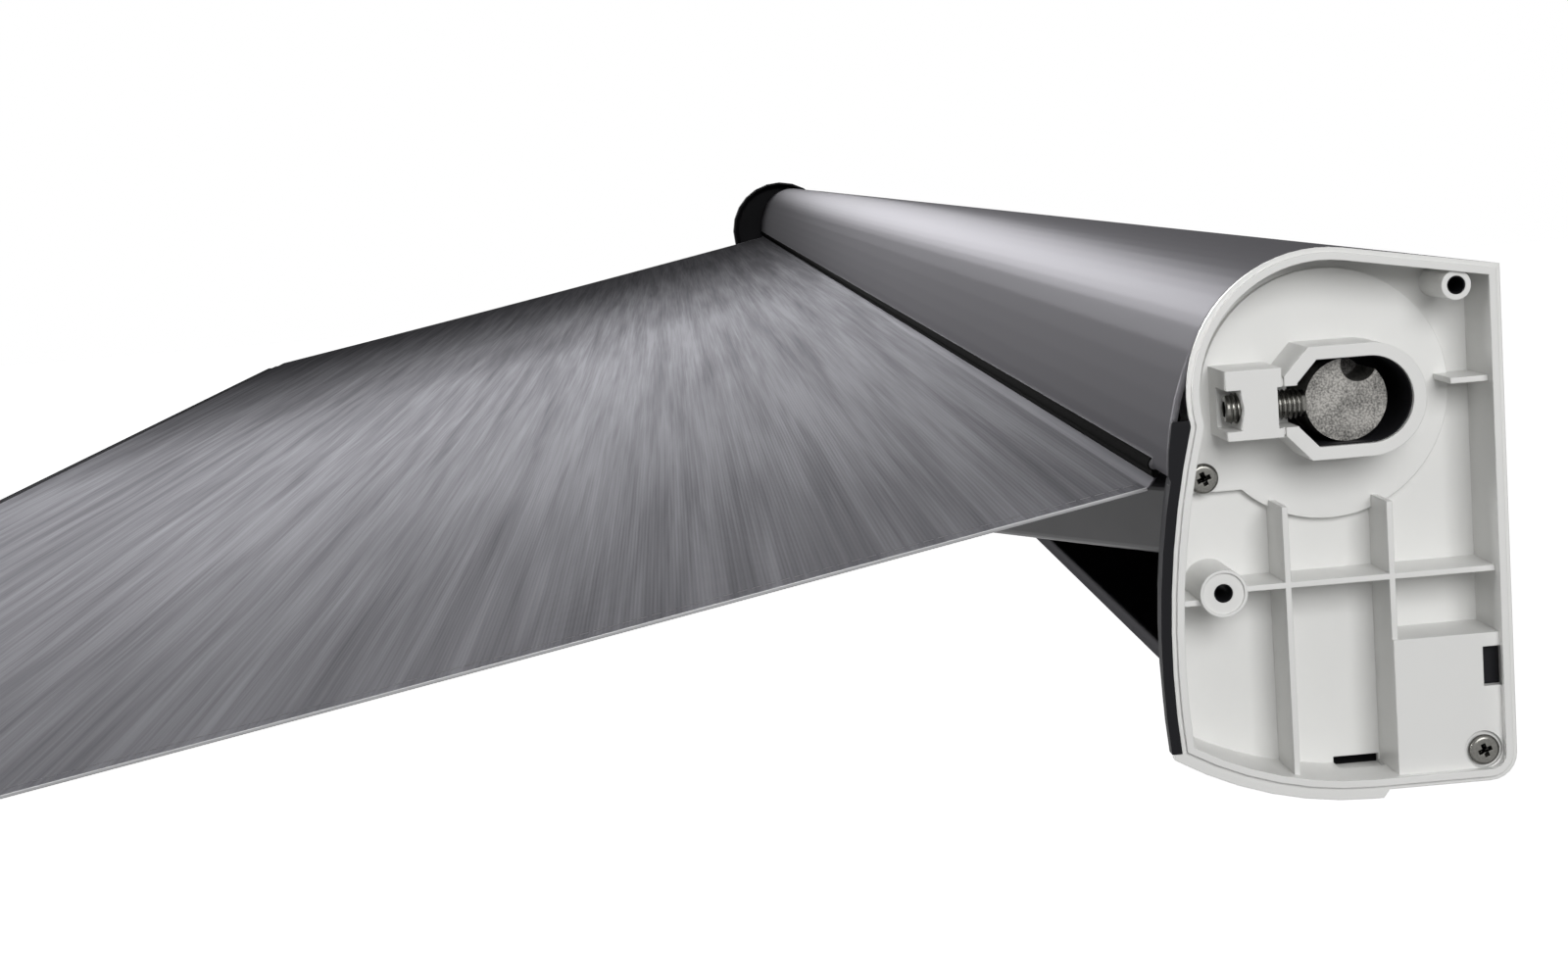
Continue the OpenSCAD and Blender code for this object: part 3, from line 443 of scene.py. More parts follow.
class Finish(Enum):
    """Every finish of the awning."""

    CASE_PAINT = SatinPaint((0.048, 0.047, 0.051), (0.136, 0.134, 0.142), roughness=0.37)
    RAIL_PAINT = SatinPaint((0.020, 0.020, 0.022), (0.050, 0.050, 0.052), edge=0.5 * MM)
    ARM_PAINT = PowderCoat((0.060, 0.060, 0.065), 0.42)
    BRACKET_PAINT = PowderCoat((0.050, 0.050, 0.055), 0.45)
    WHITE_MOULDING = Moulding((0.76, 0.76, 0.745))
    DARK_MOULDING = Moulding((0.016, 0.016, 0.018), 0.45, 0.05)
    SEAL_RUBBER = Moulding((0.008, 0.008, 0.008), 0.7, 0.0)
    ZINC_CAST = Cast((0.17, 0.165, 0.155))
    DARK_CAST = Cast((0.075, 0.075, 0.08), 0.3)
    SCREW_STEEL = BareMetal((0.17, 0.167, 0.155), 0.25, EVEN)
    DARK_SCREW = BareMetal((0.08, 0.08, 0.085), 0.4, EVEN)
    RAW_ALUMINIUM = BareMetal((0.74, 0.75, 0.77), 0.34)
    WHEEL_BRASS = BareMetal((0.72, 0.52, 0.22), 0.3, EVEN)
    HEM_BINDING = Moulding((0.42, 0.42, 0.43), 0.6, 0.2)
    HEM_THREAD = Moulding((0.19, 0.188, 0.196), 0.6, 0.0)
    AWNING_WEAVE = Woven((0.110, 0.109, 0.118), dark=(0.084, 0.083, 0.090), pale=(0.160, 0.159, 0.171))


class Finishes:
    """The material of every finish, and which CAD node has which."""

    # The first line with a word that a node's name holds gives its finish
    NODE_FINISH = (
        (Finish.CASE_PAINT, ("case_shell",)),
        (Finish.SEAL_RUBBER, ("lip_seal",)),
        (Finish.WHITE_MOULDING, ("end_frame",)),
        (Finish.ZINC_CAST, ("roller_shaft", "crank_eye")),
        (Finish.BRACKET_PAINT, ("wall_bracket",)),
        (Finish.DARK_SCREW, ("cover_screws",)),
        (Finish.SCREW_STEEL, ("screw", "_pin", "worm_shaft")),
        (Finish.WHEEL_BRASS, ("worm_wheel",)),
        (Finish.DARK_CAST, ("shoulder_bracket", "arm_bracket", "elbow_fork", "forearm_tip")),
        (Finish.ARM_PAINT, ("arm",)),
        (Finish.RAIL_PAINT, ("lead_rail",)),
        (Finish.DARK_MOULDING, ("side_seal", "end_cover", "roller_plug", "rail_cap")),
        (Finish.DARK_MOULDING, ("leg_lock", "leg_foot")),
        (Finish.RAW_ALUMINIUM, ("roller_tube", "leg_")),
        (Finish.AWNING_WEAVE, ("cloth",)),
    )

    def __init__(self) -> None:
        """Makes all the materials."""
        self.made = {finish: finish.value.material(finish.name.lower()) for finish in Finish}

    def dress(self, piece: Piece, finish: Finish) -> None:
        """Gives a piece one finish all over.

        Args:
            piece: the object.
            finish: the finish.
        """
        slots = piece.data.materials
        if len(slots) == 0:
            slots.append(self.made[finish])
        for place in range(len(slots)):
            slots[place] = self.made[finish]

    def dress_nodes(self, nodes: dict[str, Piece]) -> None:
        """Gives every CAD node its finish."""
        for name, piece in nodes.items():
            self.dress(piece, next(f for f, words in self.NODE_FINISH if any(w in name for w in words)))


def clear() -> None:
    """Leaves edit mode and deselects everything."""
    if bpy.context.object and bpy.context.object.mode != "OBJECT":
        bpy.ops.object.mode_set(mode="OBJECT")
    bpy.ops.object.select_all(action="DESELECT")


def pick(piece: Piece) -> None:
    """Makes a piece the only selected one, and the active one.

    Args:
        piece: the object.
    """
    clear()
    piece.select_set(True)
    bpy.context.view_layer.objects.active = piece


def named(name: str) -> Piece:
    """Names the active object and its mesh.

    Args:
        name: the piece's name.

    Returns:
        The active object.
    """
    piece = bpy.context.object
    piece.name = name
    piece.data.name = name
    return piece


def settle(piece: Piece) -> Piece:
    """Puts a piece's place into its mesh, so that its object is at the origin.

    Args:
        piece: the object.

    Returns:
        The same object.
    """
    pick(piece)
    bpy.ops.object.transform_apply(location=True, rotation=True, scale=True)
    return piece


def grid(name: str, across: int, along: int) -> Piece:
    """A unit grid from 0 to 1 in X and in Y.

    Args:
        name: the piece's name.
        across: faces along X.
        along: faces along Y.

    Returns:
        The new piece.
    """
    clear()
    bpy.ops.mesh.primitive_grid_add(
        x_subdivisions=across, y_subdivisions=along, size=1.0, location=(0.5, 0.5, 0.0)
    )
    return settle(named(name))


def rod(name: str, radius: float, length: float, sides: int = 48) -> Piece:
    """A rod from the origin along +X.

    Args:
        name: the piece's name.
        radius: its radius.
        length: its length.
        sides: its number of sides.

    Returns:
        The new piece.
    """
    clear()
    place, turn = (length / 2, 0.0, 0.0), (0.0, math.radians(90.0), 0.0)
    bpy.ops.mesh.primitive_cylinder_add(
        vertices=sides, radius=radius, depth=length, location=place, rotation=turn
    )
    return settle(named(name))


def block(name: str, low: Point, high: Point) -> Piece:
    """A block between two corners.

    Args:
        name: the piece's name.
        low: its lowest corner.
        high: its highest corner.

    Returns:
        The new piece.
    """
    clear()
    a, b = Vector(low), Vector(high)
    bpy.ops.mesh.primitive_cube_add(size=1.0, location=(a + b) / 2, scale=b - a)
    return settle(named(name))


def move(piece: Piece, matrix: Matrix) -> None:
    """Moves a piece by a matrix, and puts the new place into its mesh."""
    piece.matrix_world = matrix
    settle(piece)


def shape(piece: Piece, rule: Callable[[Vector], Sequence[float]]) -> None:
    """Moves every point of a piece by a rule.

    Args:
        piece: the object.
        rule: gives a point's new place from its old one.
    """
    for vertex in piece.data.vertices:
        vertex.co = rule(vertex.co.copy())
    piece.data.update()


def apply(piece: Piece, kind: str, **settings: Any) -> None:
    """Adds a modifier and applies it.

    Args:
        piece: the object.
        kind: the modifier's type.
        **settings: the modifier's settings.
    """
    pick(piece)
    modifier = piece.modifiers.new(kind.lower(), kind)
    for key, value in settings.items():
        setattr(modifier, key, value)
    bpy.ops.object.modifier_apply(modifier=modifier.name)


def thicken(piece: Piece, thickness: float, offset: float = 0.0) -> None:
    """Gives a single layer its thickness, by default half to each side."""
    apply(piece, "SOLIDIFY", thickness=thickness, offset=offset)


def soften(piece: Piece, width: float, segments: int = 2) -> None:
    """Rounds a piece's sharp edges."""
    apply(piece, "BEVEL", width=width, segments=segments, limit_method="ANGLE")


def towards(piece: Piece, point: Vector) -> float:
    """The offset, 1 or -1, that lets thicken grow a single layer towards a point."""
    face = piece.data.polygons[len(piece.data.polygons) // 2]
    return 1.0 if face.normal.dot(point - face.center) > 0.0 else -1.0


def cut(piece: Piece, tool: Piece) -> None:
    """Cuts the tool, a closed shape, out of a piece, and removes the tool."""
    apply(piece, "BOOLEAN", operation="DIFFERENCE", object=tool, solver="EXACT")
    bpy.data.objects.remove(tool)


def face_out(piece: Piece) -> Piece:
    """Merges doubles and turns all faces outwards.

    Args:
        piece: the object.

    Returns:
        The same object.
    """
    pick(piece)
    bpy.ops.object.mode_set(mode="EDIT")
    bpy.ops.mesh.select_all(action="SELECT")
    bpy.ops.mesh.remove_doubles(threshold=0.005 * MM)
    bpy.ops.mesh.normals_make_consistent(inside=False)
    bpy.ops.object.mode_set(mode="OBJECT")
    return piece


def smooth(piece: Piece, angle: float = 35.0) -> Piece:
    """Shades a piece smooth apart from its sharp edges.

    Args:
        piece: the object.
        angle: edges sharper than this, in degrees, stay sharp.

    Returns:
        The same object.
    """
    pick(piece)
    bpy.ops.object.shade_smooth_by_angle(angle=math.radians(angle))
    return piece


def join(name: str, pieces: Sequence[Piece]) -> Piece:
    """Joins pieces into one object.

    Args:
        name: the joined piece's name.
        pieces: the objects.

    Returns:
        The joined object.
    """
    pick(pieces[0])
    for piece in pieces:
        piece.select_set(True)
    bpy.ops.object.join()
    return named(name)


def polar(x: float, radius: float, angle: float) -> Vector:
    """A point round the X axis, by its place along X, its radius and its angle from +Y."""
    return Vector((x, radius * math.cos(angle), radius * math.sin(angle)))


def islands(node: Piece, reach: float) -> list[tuple[Vector, Vector]]:
    """The boxes of a CAD node's solids, which stand apart as seen along X.

    Args:
        node: the CAD node's object.
        reach: points nearer than this to a group belong to it.

    Returns:
        The lowest and highest corner of each solid.
    """
    boxes: list[tuple[Vector, Vector]] = []
    for vertex in node.data.vertices:
        co = vertex.co
        for low, high in boxes:
            if all(low[k] - reach <= co[k] <= high[k] + reach for k in (1, 2)):
                low[:] = [min(low[k], co[k]) for k in range(3)]
                high[:] = [max(high[k], co[k]) for k in range(3)]
                break
        else:
            boxes.append((co.copy(), co.copy()))
    return boxes


@dataclass(frozen=True)
class Strip:
    """A strip along a side edge of the cloth, and how far it stands over that edge."""

    name: str
    finish: Finish
    width: float
    over: float
    thickness: float
    rounding: float
    cells: int


@dataclass
class Cloth:
    """The cloth: its stretched length, the fold into the rail, the stretch in the case, its roll."""

    finishes: Finishes
    slope: float = math.radians(10.1)
    thickness: float = 0.5 * MM
    cells_across: int = 120
    cells_along: int = 48
    # The way out of the case, from the end frame's front and the roll's axis
    exit_behind_front: float = 1.7 * MM
    exit_below_axis: float = 27.4 * MM
    # The fold over the rail's back edge, and the groove with its cord
    fold_start: float = 0.8 * MM
    fold_rise: float = 0.4 * MM
    mouth_behind: float = 7.6 * MM
    cord_behind: float = 11.8 * MM
    groove_wall: float = 3.8 * MM
    slot_rise: float = 0.9 * MM
    seat_behind_cord: float = 1.0 * MM
    cord_radius: float = 2.1 * MM
    cord_rounding: float = 0.6 * MM
    end_play: float = 0.3 * MM
    # The hang, which the hems hold back, and the ripples, in radians per metre along X
    sag: float = 2.5 * MM
    held_share: float = 0.4
    ripple: float = 0.35 * MM
    long_ripple: float = 9.0
    short_ripple: float = 23.0
    short_share: float = 0.6
    short_skew: float = 2.0
    wander: float = 1.3
    wander_ripple: float = 2.3
    # A hem's stitches
    stitch_pitch: float = 5 * MM
    stitch_radius: float = 0.22 * MM
    stitch_share: float = 0.7
    stitch_inset: float = 2.5 * MM
    # How the cloth shortens as the arms fold
    travel: float = 845 * MM
    folded_keep: float = 0.004
    folded_gap: float = 0.3 * MM
    # The roll on its tube
    turns: int = 7
    cells_per_turn: int = 30
    roll_play: float = 0.2 * MM
    roll_thickness_share: float = 0.7

    HEM = Strip("hem", Finish.AWNING_WEAVE, 14 * MM, 0.0, 0.9 * MM, 0.35 * MM, 3)
    BINDING = Strip("binding", Finish.HEM_BINDING, 1.3 * MM, 0.15 * MM, 1.1 * MM, 0.3 * MM, 1)

    def __post_init__(self) -> None:
        """Takes the cloth's width, end points and roll from the frame."""
        self.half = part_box("awning_cloth")[1].x
        roll_low, roll_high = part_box("cloth_roll")
        self.roll_radius = (roll_high.y - roll_low.y) / 2
        self.roll_half = roll_high.x
        self.axis = (roll_low + roll_high) / 2
        self.axis.x = 0.0
        tube_low, tube_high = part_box("roller_tube")
        self.tube_radius = (tube_high.y - tube_low.y) / 2
        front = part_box("right_end_frame")[0].y
        self.exit = Vector((0.0, front + self.exit_behind_front, self.axis.z - self.exit_below_axis))
        way = self.exit - self.axis
        self.wrap_angle = math.atan2(way.z, way.y) - math.acos(self.roll_radius / way.length)
        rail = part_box("lead_rail")[1]
        self.rail_half = rail.x
        self.out = Vector((0.0, -math.cos(self.slope), -math.sin(self.slope)))
        self.up = Vector((0.0, -math.sin(self.slope), math.cos(self.slope)))
        over_y = rail.y - self.fold_start
        over_z = self.exit.z + (over_y - self.exit.y) * math.tan(self.slope)
        self.over = Vector((0.0, over_y, over_z))
        self.length = (self.over - self.exit).length
        slot_z = rail.z - self.groove_wall + self.slot_rise
        self.mouth = Vector((0.0, rail.y - self.mouth_behind, slot_z))
        self.groove = Vector((0.0, rail.y - self.cord_behind, rail.z - self.groove_wall))

    def build(self) -> None:
        """Makes all the cloth."""
        self._stretched()
        self._folded_edge()
        self._inside()
        self._roll()

    def _spot(self, across: float, along: float, rise: float = 0.0) -> Vector:
        """A point on the stretched cloth.

        Args:
            across: distance from the middle of the case, along X.
            along: share of the way from the case to the rail.
            rise: height above the cloth's middle.

        Returns:
            The point.
        """
        held = (across / self.half) ** 4 * self.held_share
        hang = -self.sag * math.sin(math.pi * along) * (1.0 - held)
        wave = math.sin(across * self.long_ripple + self.wander * math.sin(across * self.wander_ripple))
        wave += self.short_share * math.sin(across * self.short_ripple + along * self.short_skew)
        lift = hang + self.ripple * wave * math.sin(math.pi * along) + rise
        return Vector((across, 0.0, 0.0)) + self.exit + self.out * (self.length * along) + self.up * lift

    def _shorten(self, piece: Piece) -> None:
        """Puts a piece on the case's body, with a mesh of its own.

        Args:
            piece: the stretched cloth, or a piece on it.
        """
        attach(piece, Body.CASE.value)
        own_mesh(piece)

    def _stretched(self) -> None:
        """The cloth between the case and the rail, with its two hems and their stitches."""
        sheet = grid("awning_sheet", self.cells_across, self.cells_along)
        shape(sheet, lambda p: self._spot((2 * p.x - 1) * self.half, p.y))
        thicken(sheet, self.thickness)
        smooth(sheet)
        self.finishes.dress(sheet, Finish.AWNING_WEAVE)
        trims = []
        for side in Side:
            trims += [self._strip(self.HEM, side), self._strip(self.BINDING, side), self._stitches(side)]
        for piece in (sheet, *trims):
            self._shorten(piece)
        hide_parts("awning_cloth")

    def _strip(self, strip: Strip, side: Side) -> Piece:
        """The doubled hem along one side edge, or the pale binding round it.

        Args:
            strip: which of the two, with its sizes.
            side: which end of the awning.

        Returns:
            The strip.
        """
        piece = grid(f"{side.name.lower()}_{strip.name}", strip.cells, self.cells_along)
        inner = self.half - strip.width
        width = strip.width + strip.over
        shape(piece, lambda p: self._spot(side.value * (inner + p.x * width), p.y))
        thicken(piece, strip.thickness)
        soften(piece, strip.rounding)
        smooth(piece)
        self.finishes.dress(piece, strip.finish)
        return piece

    def _stitches(self, side: Side) -> Piece:
        """The row of stitches along one hem.

        Args:
            side: which end of the awning.

        Returns:
            The stitches as one piece.
        """
        row = rod("stitch", self.stitch_radius, self.stitch_share * self.stitch_pitch, 6)
        apply(
            row,
            "ARRAY",
            count=int(self.length / self.stitch_pitch) - 1,
            use_relative_offset=False,
            use_constant_offset=True,
            constant_offset_displace=(self.stitch_pitch, 0.0, 0.0),
        )
        across = side.value * (self.half - self.HEM.width + self.stitch_inset)
        rise = self.HEM.thickness / 2

        def lay(p: Vector) -> Vector:
            """Lays a stitch's point on the hem."""
            return self._spot(across + p.y, (p.x + self.stitch_pitch / 2) / self.length, rise + p.z)

        shape(row, lay)
        row.name = f"{side.name.lower()}_hem_stitches"
        smooth(face_out(row), 60.0)
        self.finishes.dress(row, Finish.HEM_THREAD)
        return row

    def _folded_edge(self) -> None:
        """The cloth's last stretch into the rail's groove, and the cord that holds it there."""
        half = self.rail_half - self.end_play
        seat = Vector((0.0, self.groove.y + self.seat_behind_cord, self.mouth.z))
        bend = (2 * self.over + self.mouth) / 3 + self.up * self.fold_rise
        stops = (self.over, bend, self.mouth, seat)
        edge = grid("cloth_edge", 24, len(stops) - 1)

        def lay(p: Vector) -> Vector:
            """Lays a row of the grid on its stop."""
            return stops[round(p.y * (len(stops) - 1))] + Vector(((2 * p.x - 1) * half, 0.0, 0.0))

        shape(edge, lay)
        thicken(edge, self.thickness)
        smooth(edge, 60.0)
        cord = rod("edge_cord", self.cord_radius, 2 * half, 20)
        soften(cord, self.cord_rounding)
        move(cord, Matrix.Translation(self.groove - Vector((half, 0.0, 0.0))))
        smooth(cord)
        for piece in (edge, cord):
            self.finishes.dress(piece, Finish.AWNING_WEAVE)
            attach(piece, Body.RAIL.value)

    def _inside(self) -> None:
        """The cloth between its roll and the way out of the case."""
        wrap = self.axis + polar(0.0, self.roll_radius, self.wrap_angle)
        inner = grid("cloth_in_case", 24, 4)
        shape(inner, lambda p: wrap.lerp(self.exit, p.y) + Vector(((2 * p.x - 1) * self.half, 0.0, 0.0)))
        thicken(inner, self.thickness)
        smooth(inner)
        self.finishes.dress(inner, Finish.AWNING_WEAVE)
        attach(inner, Body.CASE.value)

    def _roll(self) -> None:
        """The cloth wound on its tube, as one long spiral."""
        inner_radius = self.tube_radius + 0.5 * self.thickness + self.roll_play
        outer_radius = self.roll_radius - 0.5 * self.thickness
        roll = grid("cloth_roll_turns", 8, self.turns * self.cells_per_turn)

        def wind(p: Vector) -> Vector:
            """Winds a row of the grid on the spiral.

            Args:
                p: a point of the unit grid.

            Returns:
                Its place on the spiral.
            """
            radius = outer_radius + (inner_radius - outer_radius) * p.y
            angle = self.wrap_angle - 2 * math.pi * self.turns * p.y
            return self.axis + polar((2 * p.x - 1) * self.roll_half, radius, angle)

        shape(roll, wind)
        thicken(roll, self.roll_thickness_share * self.thickness)
        smooth(roll)
        self.finishes.dress(roll, Finish.AWNING_WEAVE)
        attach(roll, Body.ROLLER.value)
        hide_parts("cloth_roll")


@dataclass
class Screws:
    """Cross-head screws of the end frame and far cover, and the threaded clamping screw."""

    finishes: Finishes
    # How near two points of one screw are, as seen along X
    apart: float = 12 * MM
    # Shares of a head's radius
    head_height: float = 0.55
    shank_radius: float = 0.42
    slot_reach: float = 0.6
    # Shares of a head's height, from its seat
    head_rounding: float = 0.75
    slot_floor: float = 0.3
    slot_top: float = 1.5
    # The cross: its slots' width, its turn in degrees, and how wide and long its floor and top are
    slot_width: float = 1.7 * MM
    cross_turn: float = 20.0
    floor_taper: tuple[float, float] = (0.6, 0.45)
    top_taper: tuple[float, float] = (1.2, 1.0)
    # The clamping screw's thread, whose ridge is rooted inside the core; start and flank in pitches
    thread_pitch: float = 1.5 * MM
    thread_depth: float = 0.75 * MM
    core_share: float = 0.8
    root_sink: float = 0.15 * MM
    thread_start: float = 0.6
    flank: float = 0.42
    cells_per_turn: int = 20
    # The clamping screw's rounded ends and its hexagon socket
    core_rounding: float = 0.5 * MM
    hex_radius: float = 2.9 * MM
    hex_depth: float = 5 * MM
    over_cut: float = 1 * MM

    def build(self, nodes: dict[str, Piece]) -> None:
        """Makes all the screws.

        Args:
            nodes: the CAD nodes by name.
        """
        self._place(nodes["end_screws"], Side.RIGHT, "end_screw", Slot.SCREW_STEEL)
        self._place(nodes["cover_screws"], Side.LEFT, "cover_screw", Slot.DARK_SCREW)
        self._clamp()

    def _cross_head(self, name: str, radius: float, height: float, shank: float) -> Piece:
        """A cross-head screw along +X, its head's seat at the origin.

        Args:
            name: the piece's name.
            radius: the head's radius.
            height: the head's height.
            shank: the length of the shank behind the seat.

        Returns:
            The screw.
        """
        head = rod(name, radius, height)
        soften(head, self.head_rounding * height, 5)
        reach = radius * self.slot_reach
        half = self.slot_width / 2

        def taper(p: Vector) -> Point:
            """Narrows a slot towards its floor."""
            width, length = self.floor_taper if p.x < height else self.top_taper
            return (p.x, p.y * width, p.z * length)

        for turn in (0.0, 90.0):
            low = (self.slot_floor * height, -half, -reach)
            slot = block("slot", low, (self.slot_top * height, half, reach))
            shape(slot, taper)
            move(slot, Matrix.Rotation(math.radians(turn + self.cross_turn), 4, "X"))
            cut(head, slot)
        stem = rod("stem", radius * self.shank_radius, shank + self.slot_floor * height, 24)
        move(stem, Matrix.Translation((-shank, 0.0, 0.0)))
        return smooth(join(name, [head, stem]), 32.0)

    def _place(self, node: Piece, side: Side, stem: str, slot: Slot) -> None:
        """Puts a detailed screw where each of a CAD node's screws is.

        Args:
            node: the CAD node's object.
            side: the end that the heads face.
            stem: the start of the new pieces' names.
            slot: the record's material slot, which has the finish's name.
        """
        for number, (low, high) in enumerate(islands(node, self.apart), start=1):
            radius = (high.y - low.y) / 2
            height = self.head_height * radius
            length = high.x - low.x
            screw = self._cross_head(f"{stem}_{number}", radius, height, length - height)
            tip = high.x if side is Side.RIGHT else low.x
            seat = Vector((tip - side.value * height, (low.y + high.y) / 2, (low.z + high.z) / 2))
            turn = Matrix.Rotation(0.0 if side is Side.RIGHT else math.pi, 4, "Z")
            move(screw, Matrix.Translation(seat) @ turn)
            self.finishes.dress(screw, Finish[slot.name])
            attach(screw, Body.CASE.value)
            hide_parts(node.name)

    def _clamp(self) -> None:
        """The threaded screw that clamps the roller shaft, with a hexagon socket."""
        low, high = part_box("clamp_screw")
        radius = (high.x - low.x) / 2
        length = high.y - low.y
        core = rod("clamp_core", radius - self.core_share * self.thread_depth, length)
        soften(core, self.core_rounding)
        socket = rod("socket", self.hex_radius, self.hex_depth + self.over_cut, 6)
        move(socket, Matrix.Translation((-self.over_cut, 0.0, 0.0)))
        cut(core, socket)
        ridge = self._ridge(radius, length)
        screw = smooth(join("threaded_clamp_screw", [core, ridge]), 25.0)
        start = Vector(((low.x + high.x) / 2, low.y, (low.z + high.z) / 2))
        move(screw, Matrix.Translation(start) @ Matrix.Rotation(math.radians(90), 4, "Z"))
        self.finishes.dress(screw, Finish.SCREW_STEEL)
        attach(screw, Body.CASE.value)
        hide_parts("clamp_screw")

    def _ridge(self, radius: float, length: float) -> Piece:
        """The thread's ridge, a three-sided ribbon wound along +X.

        Args:
            radius: the thread's outer radius.
            length: the screw's length.

        Returns:
            The ridge.
        """
        turns = length / self.thread_pitch - 2 * self.thread_start
        root = radius - self.thread_depth - self.root_sink
        profile = ((root, -self.flank), (radius, 0.0), (root, self.flank))
        ridge = grid("ridge", len(profile), int(turns * self.cells_per_turn))

        def wind(p: Vector) -> Vector:
            """Winds a point of the ribbon, which fades out over half a turn at each end.

            Args:
                p: a point of the unit grid.

            Returns:
                Its place on the ridge.
            """
            reach, lean = profile[round(p.x * len(profile)) % len(profile)]
            fade = min(1.0, 2.0 * turns * min(p.y, 1.0 - p.y))
            x = self.thread_pitch * (self.thread_start + turns * p.y + lean * fade)
            return polar(x, root + (reach - root) * fade, 2 * math.pi * turns * p.y)

        shape(ridge, wind)
        return face_out(ridge)


@dataclass
class ShadeAndDarkWalls:
    """Dark pieces: the lip's black rubber sleeve, which also paints the shadow line under the lip, a
    dark wall round the shaft slot, dark sleeves in the boss holes as painted shade, and the cover latch.
    """

    finishes: Finishes
    # The clamping block stands this far past the end frame's rim
    block_up: float = 2.5 * MM
    # The dark wall round the shaft slot, with places measured from the shaft's axis
    wall: float = 0.4 * MM
    play: float = 0.65 * MM
    slot_back: float = 6 * MM
    slot_lift: float = 0.2 * MM
    chamfer: float = 11 * MM
    nose: float = 17.5 * MM
    nose_share: float = 0.5
    lip_free: float = 0.4 * MM
    recess_floor: float = 27 * MM
    arc_cells: int = 24
    boss_wall: float = 0.35 * MM
    # The lip's black sleeve, seal rubber that also paints the shadow line under the lip, in degrees from
    # its bottom end round the front of the bead
    bead_radius: float = 1.8 * MM
    bead_play: float = 0.1 * MM
    sleeve_wall: float = 0.5 * MM
    sleeve_start: float = 265.0
    sleeve_sweep: float = 155.0

    # Dark sleeves in the two boss holes, painted shade in the deep holes: depth and height of the
    # middle, radius, depths of both ends
    SHADE_SLEEVES = (
        ("cover_boss_sleeve", -99.3 * MM, 101.9 * MM, 3.05 * MM, 1.9 * MM, 26.5 * MM),
        ("port_boss_sleeve", -19.2 * MM, 195.4 * MM, 2.95 * MM, 1.8 * MM, 20.0 * MM),
    )
    # The latch's lowest and highest corner from the side, and the depths of both ends
    LATCH = ((-14.5 * MM, 63.5 * MM), (-8.5 * MM, 76.5 * MM), 6 * MM, 20 * MM)

    def build(self) -> None:
        """Makes every dark piece."""
        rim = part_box("right_end_frame")[1].x - self.block_up
        pieces = [self._slot(rim)]
        # Dark sleeves in the boss holes paint the shade deep inside the holes
        for name, y, z, radius, near, far in self.SHADE_SLEEVES:
            pieces.append(self._shade_sleeve(name, Vector((rim, y, z)), radius, near, far))
        low, high, near, far = self.LATCH
        pieces.append(block("cover_latch", (rim - far, *low), (rim - near, *high)))
        # All take the dark finish; in the boss holes it is painted shade
        for piece in pieces:
            self.finishes.dress(piece, Finish.DARK_MOULDING)
            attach(piece, Body.CASE.value)
        self._lip_sleeve()

    def _lip_sleeve(self) -> None:
        """The black rubber sleeve round the front of the lip's bead, which also paints the shadow line
        between the case and the cloth.
        """
        low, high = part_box("lip_seal")
        seal = (low + high) / 2
        seal_radius = (high.z - low.z) / 2
        middle = Vector((0.0, seal.y, seal.z + seal_radius + self.bead_radius))
        reach = self.bead_radius + self.bead_play
        sleeve = grid("lip_sleeve", 10, 1)

        def lay(p: Vector) -> Vector:
            """Lays a point of the grid round the bead, from its bottom to above its front."""
            angle = math.radians(self.sleeve_start - self.sleeve_sweep * p.x)
            return middle + polar(low.x + (high.x - low.x) * p.y, reach, angle)

        shape(sleeve, lay)
        thicken(sleeve, self.sleeve_wall, -towards(sleeve, middle))
        smooth(sleeve)
        # Black rubber, which also paints the shadow line under the lip
        self.finishes.dress(sleeve, Finish.SEAL_RUBBER)
        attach(sleeve, Body.CASE.value)

    def _slot(self, rim: float) -> Piece:
        """A dark wall round the shaft's slot, open where the clamping screw comes in.

        Args:
            rim: the rim's place along X.

        Returns:
            The dark wall.
        """
        low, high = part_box("roller_shaft")
        axis = (low + high) / 2
        reach = (high.y - low.y) / 2 + self.play
        arc = [math.pi / 2 - math.pi * k / self.arc_cells for k in range(self.arc_cells + 1)]
        line = [(-self.nose, self.nose_share * reach), (-self.chamfer, reach)]
        line += [(self.slot_back + reach * math.cos(a), reach * math.sin(a)) for a in arc]
        line += [(-self.chamfer, -reach), (-self.nose, -self.nose_share * reach)]
        dark_wall = grid("shaft_slot_lining", 1, len(line) - 1)

        def lay(p: Vector) -> Vector:
            """Lays a point of the grid on the slot's wall.

            Args:
                p: a point of the unit grid.

            Returns:
                Its place on the wall.
            """
            y, z = line[round(p.y * (len(line) - 1))]
            x = rim - self.lip_free - p.x * (self.recess_floor - self.lip_free)
            return Vector((x, axis.y + y, axis.z + self.slot_lift + z))

        shape(dark_wall, lay)
        thicken(dark_wall, self.wall, towards(dark_wall, axis))
        return smooth(dark_wall)

    def _shade_sleeve(self, name: str, mouth: Vector, radius: float, near: float, far: float) -> Piece:
        """A dark sleeve in a boss hole, painted shade in the deep hole.

        Args:
            name: the piece's name.
            mouth: the hole's middle at the rim.
            radius: the sleeve's outer radius.
            near: depth of its outer end.
            far: depth of its inner end.

        Returns:
            The sleeve.
        """
        sleeve = rod(name, radius, far - near, 32)
        bore = rod("bore", radius - self.boss_wall, 2 * far, 32)
        move(bore, Matrix.Translation((-0.5 * far, 0.0, 0.0)))
        cut(sleeve, bore)
        move(sleeve, Matrix.Translation(mouth - Vector((far, 0.0, 0.0))))
        return smooth(sleeve)


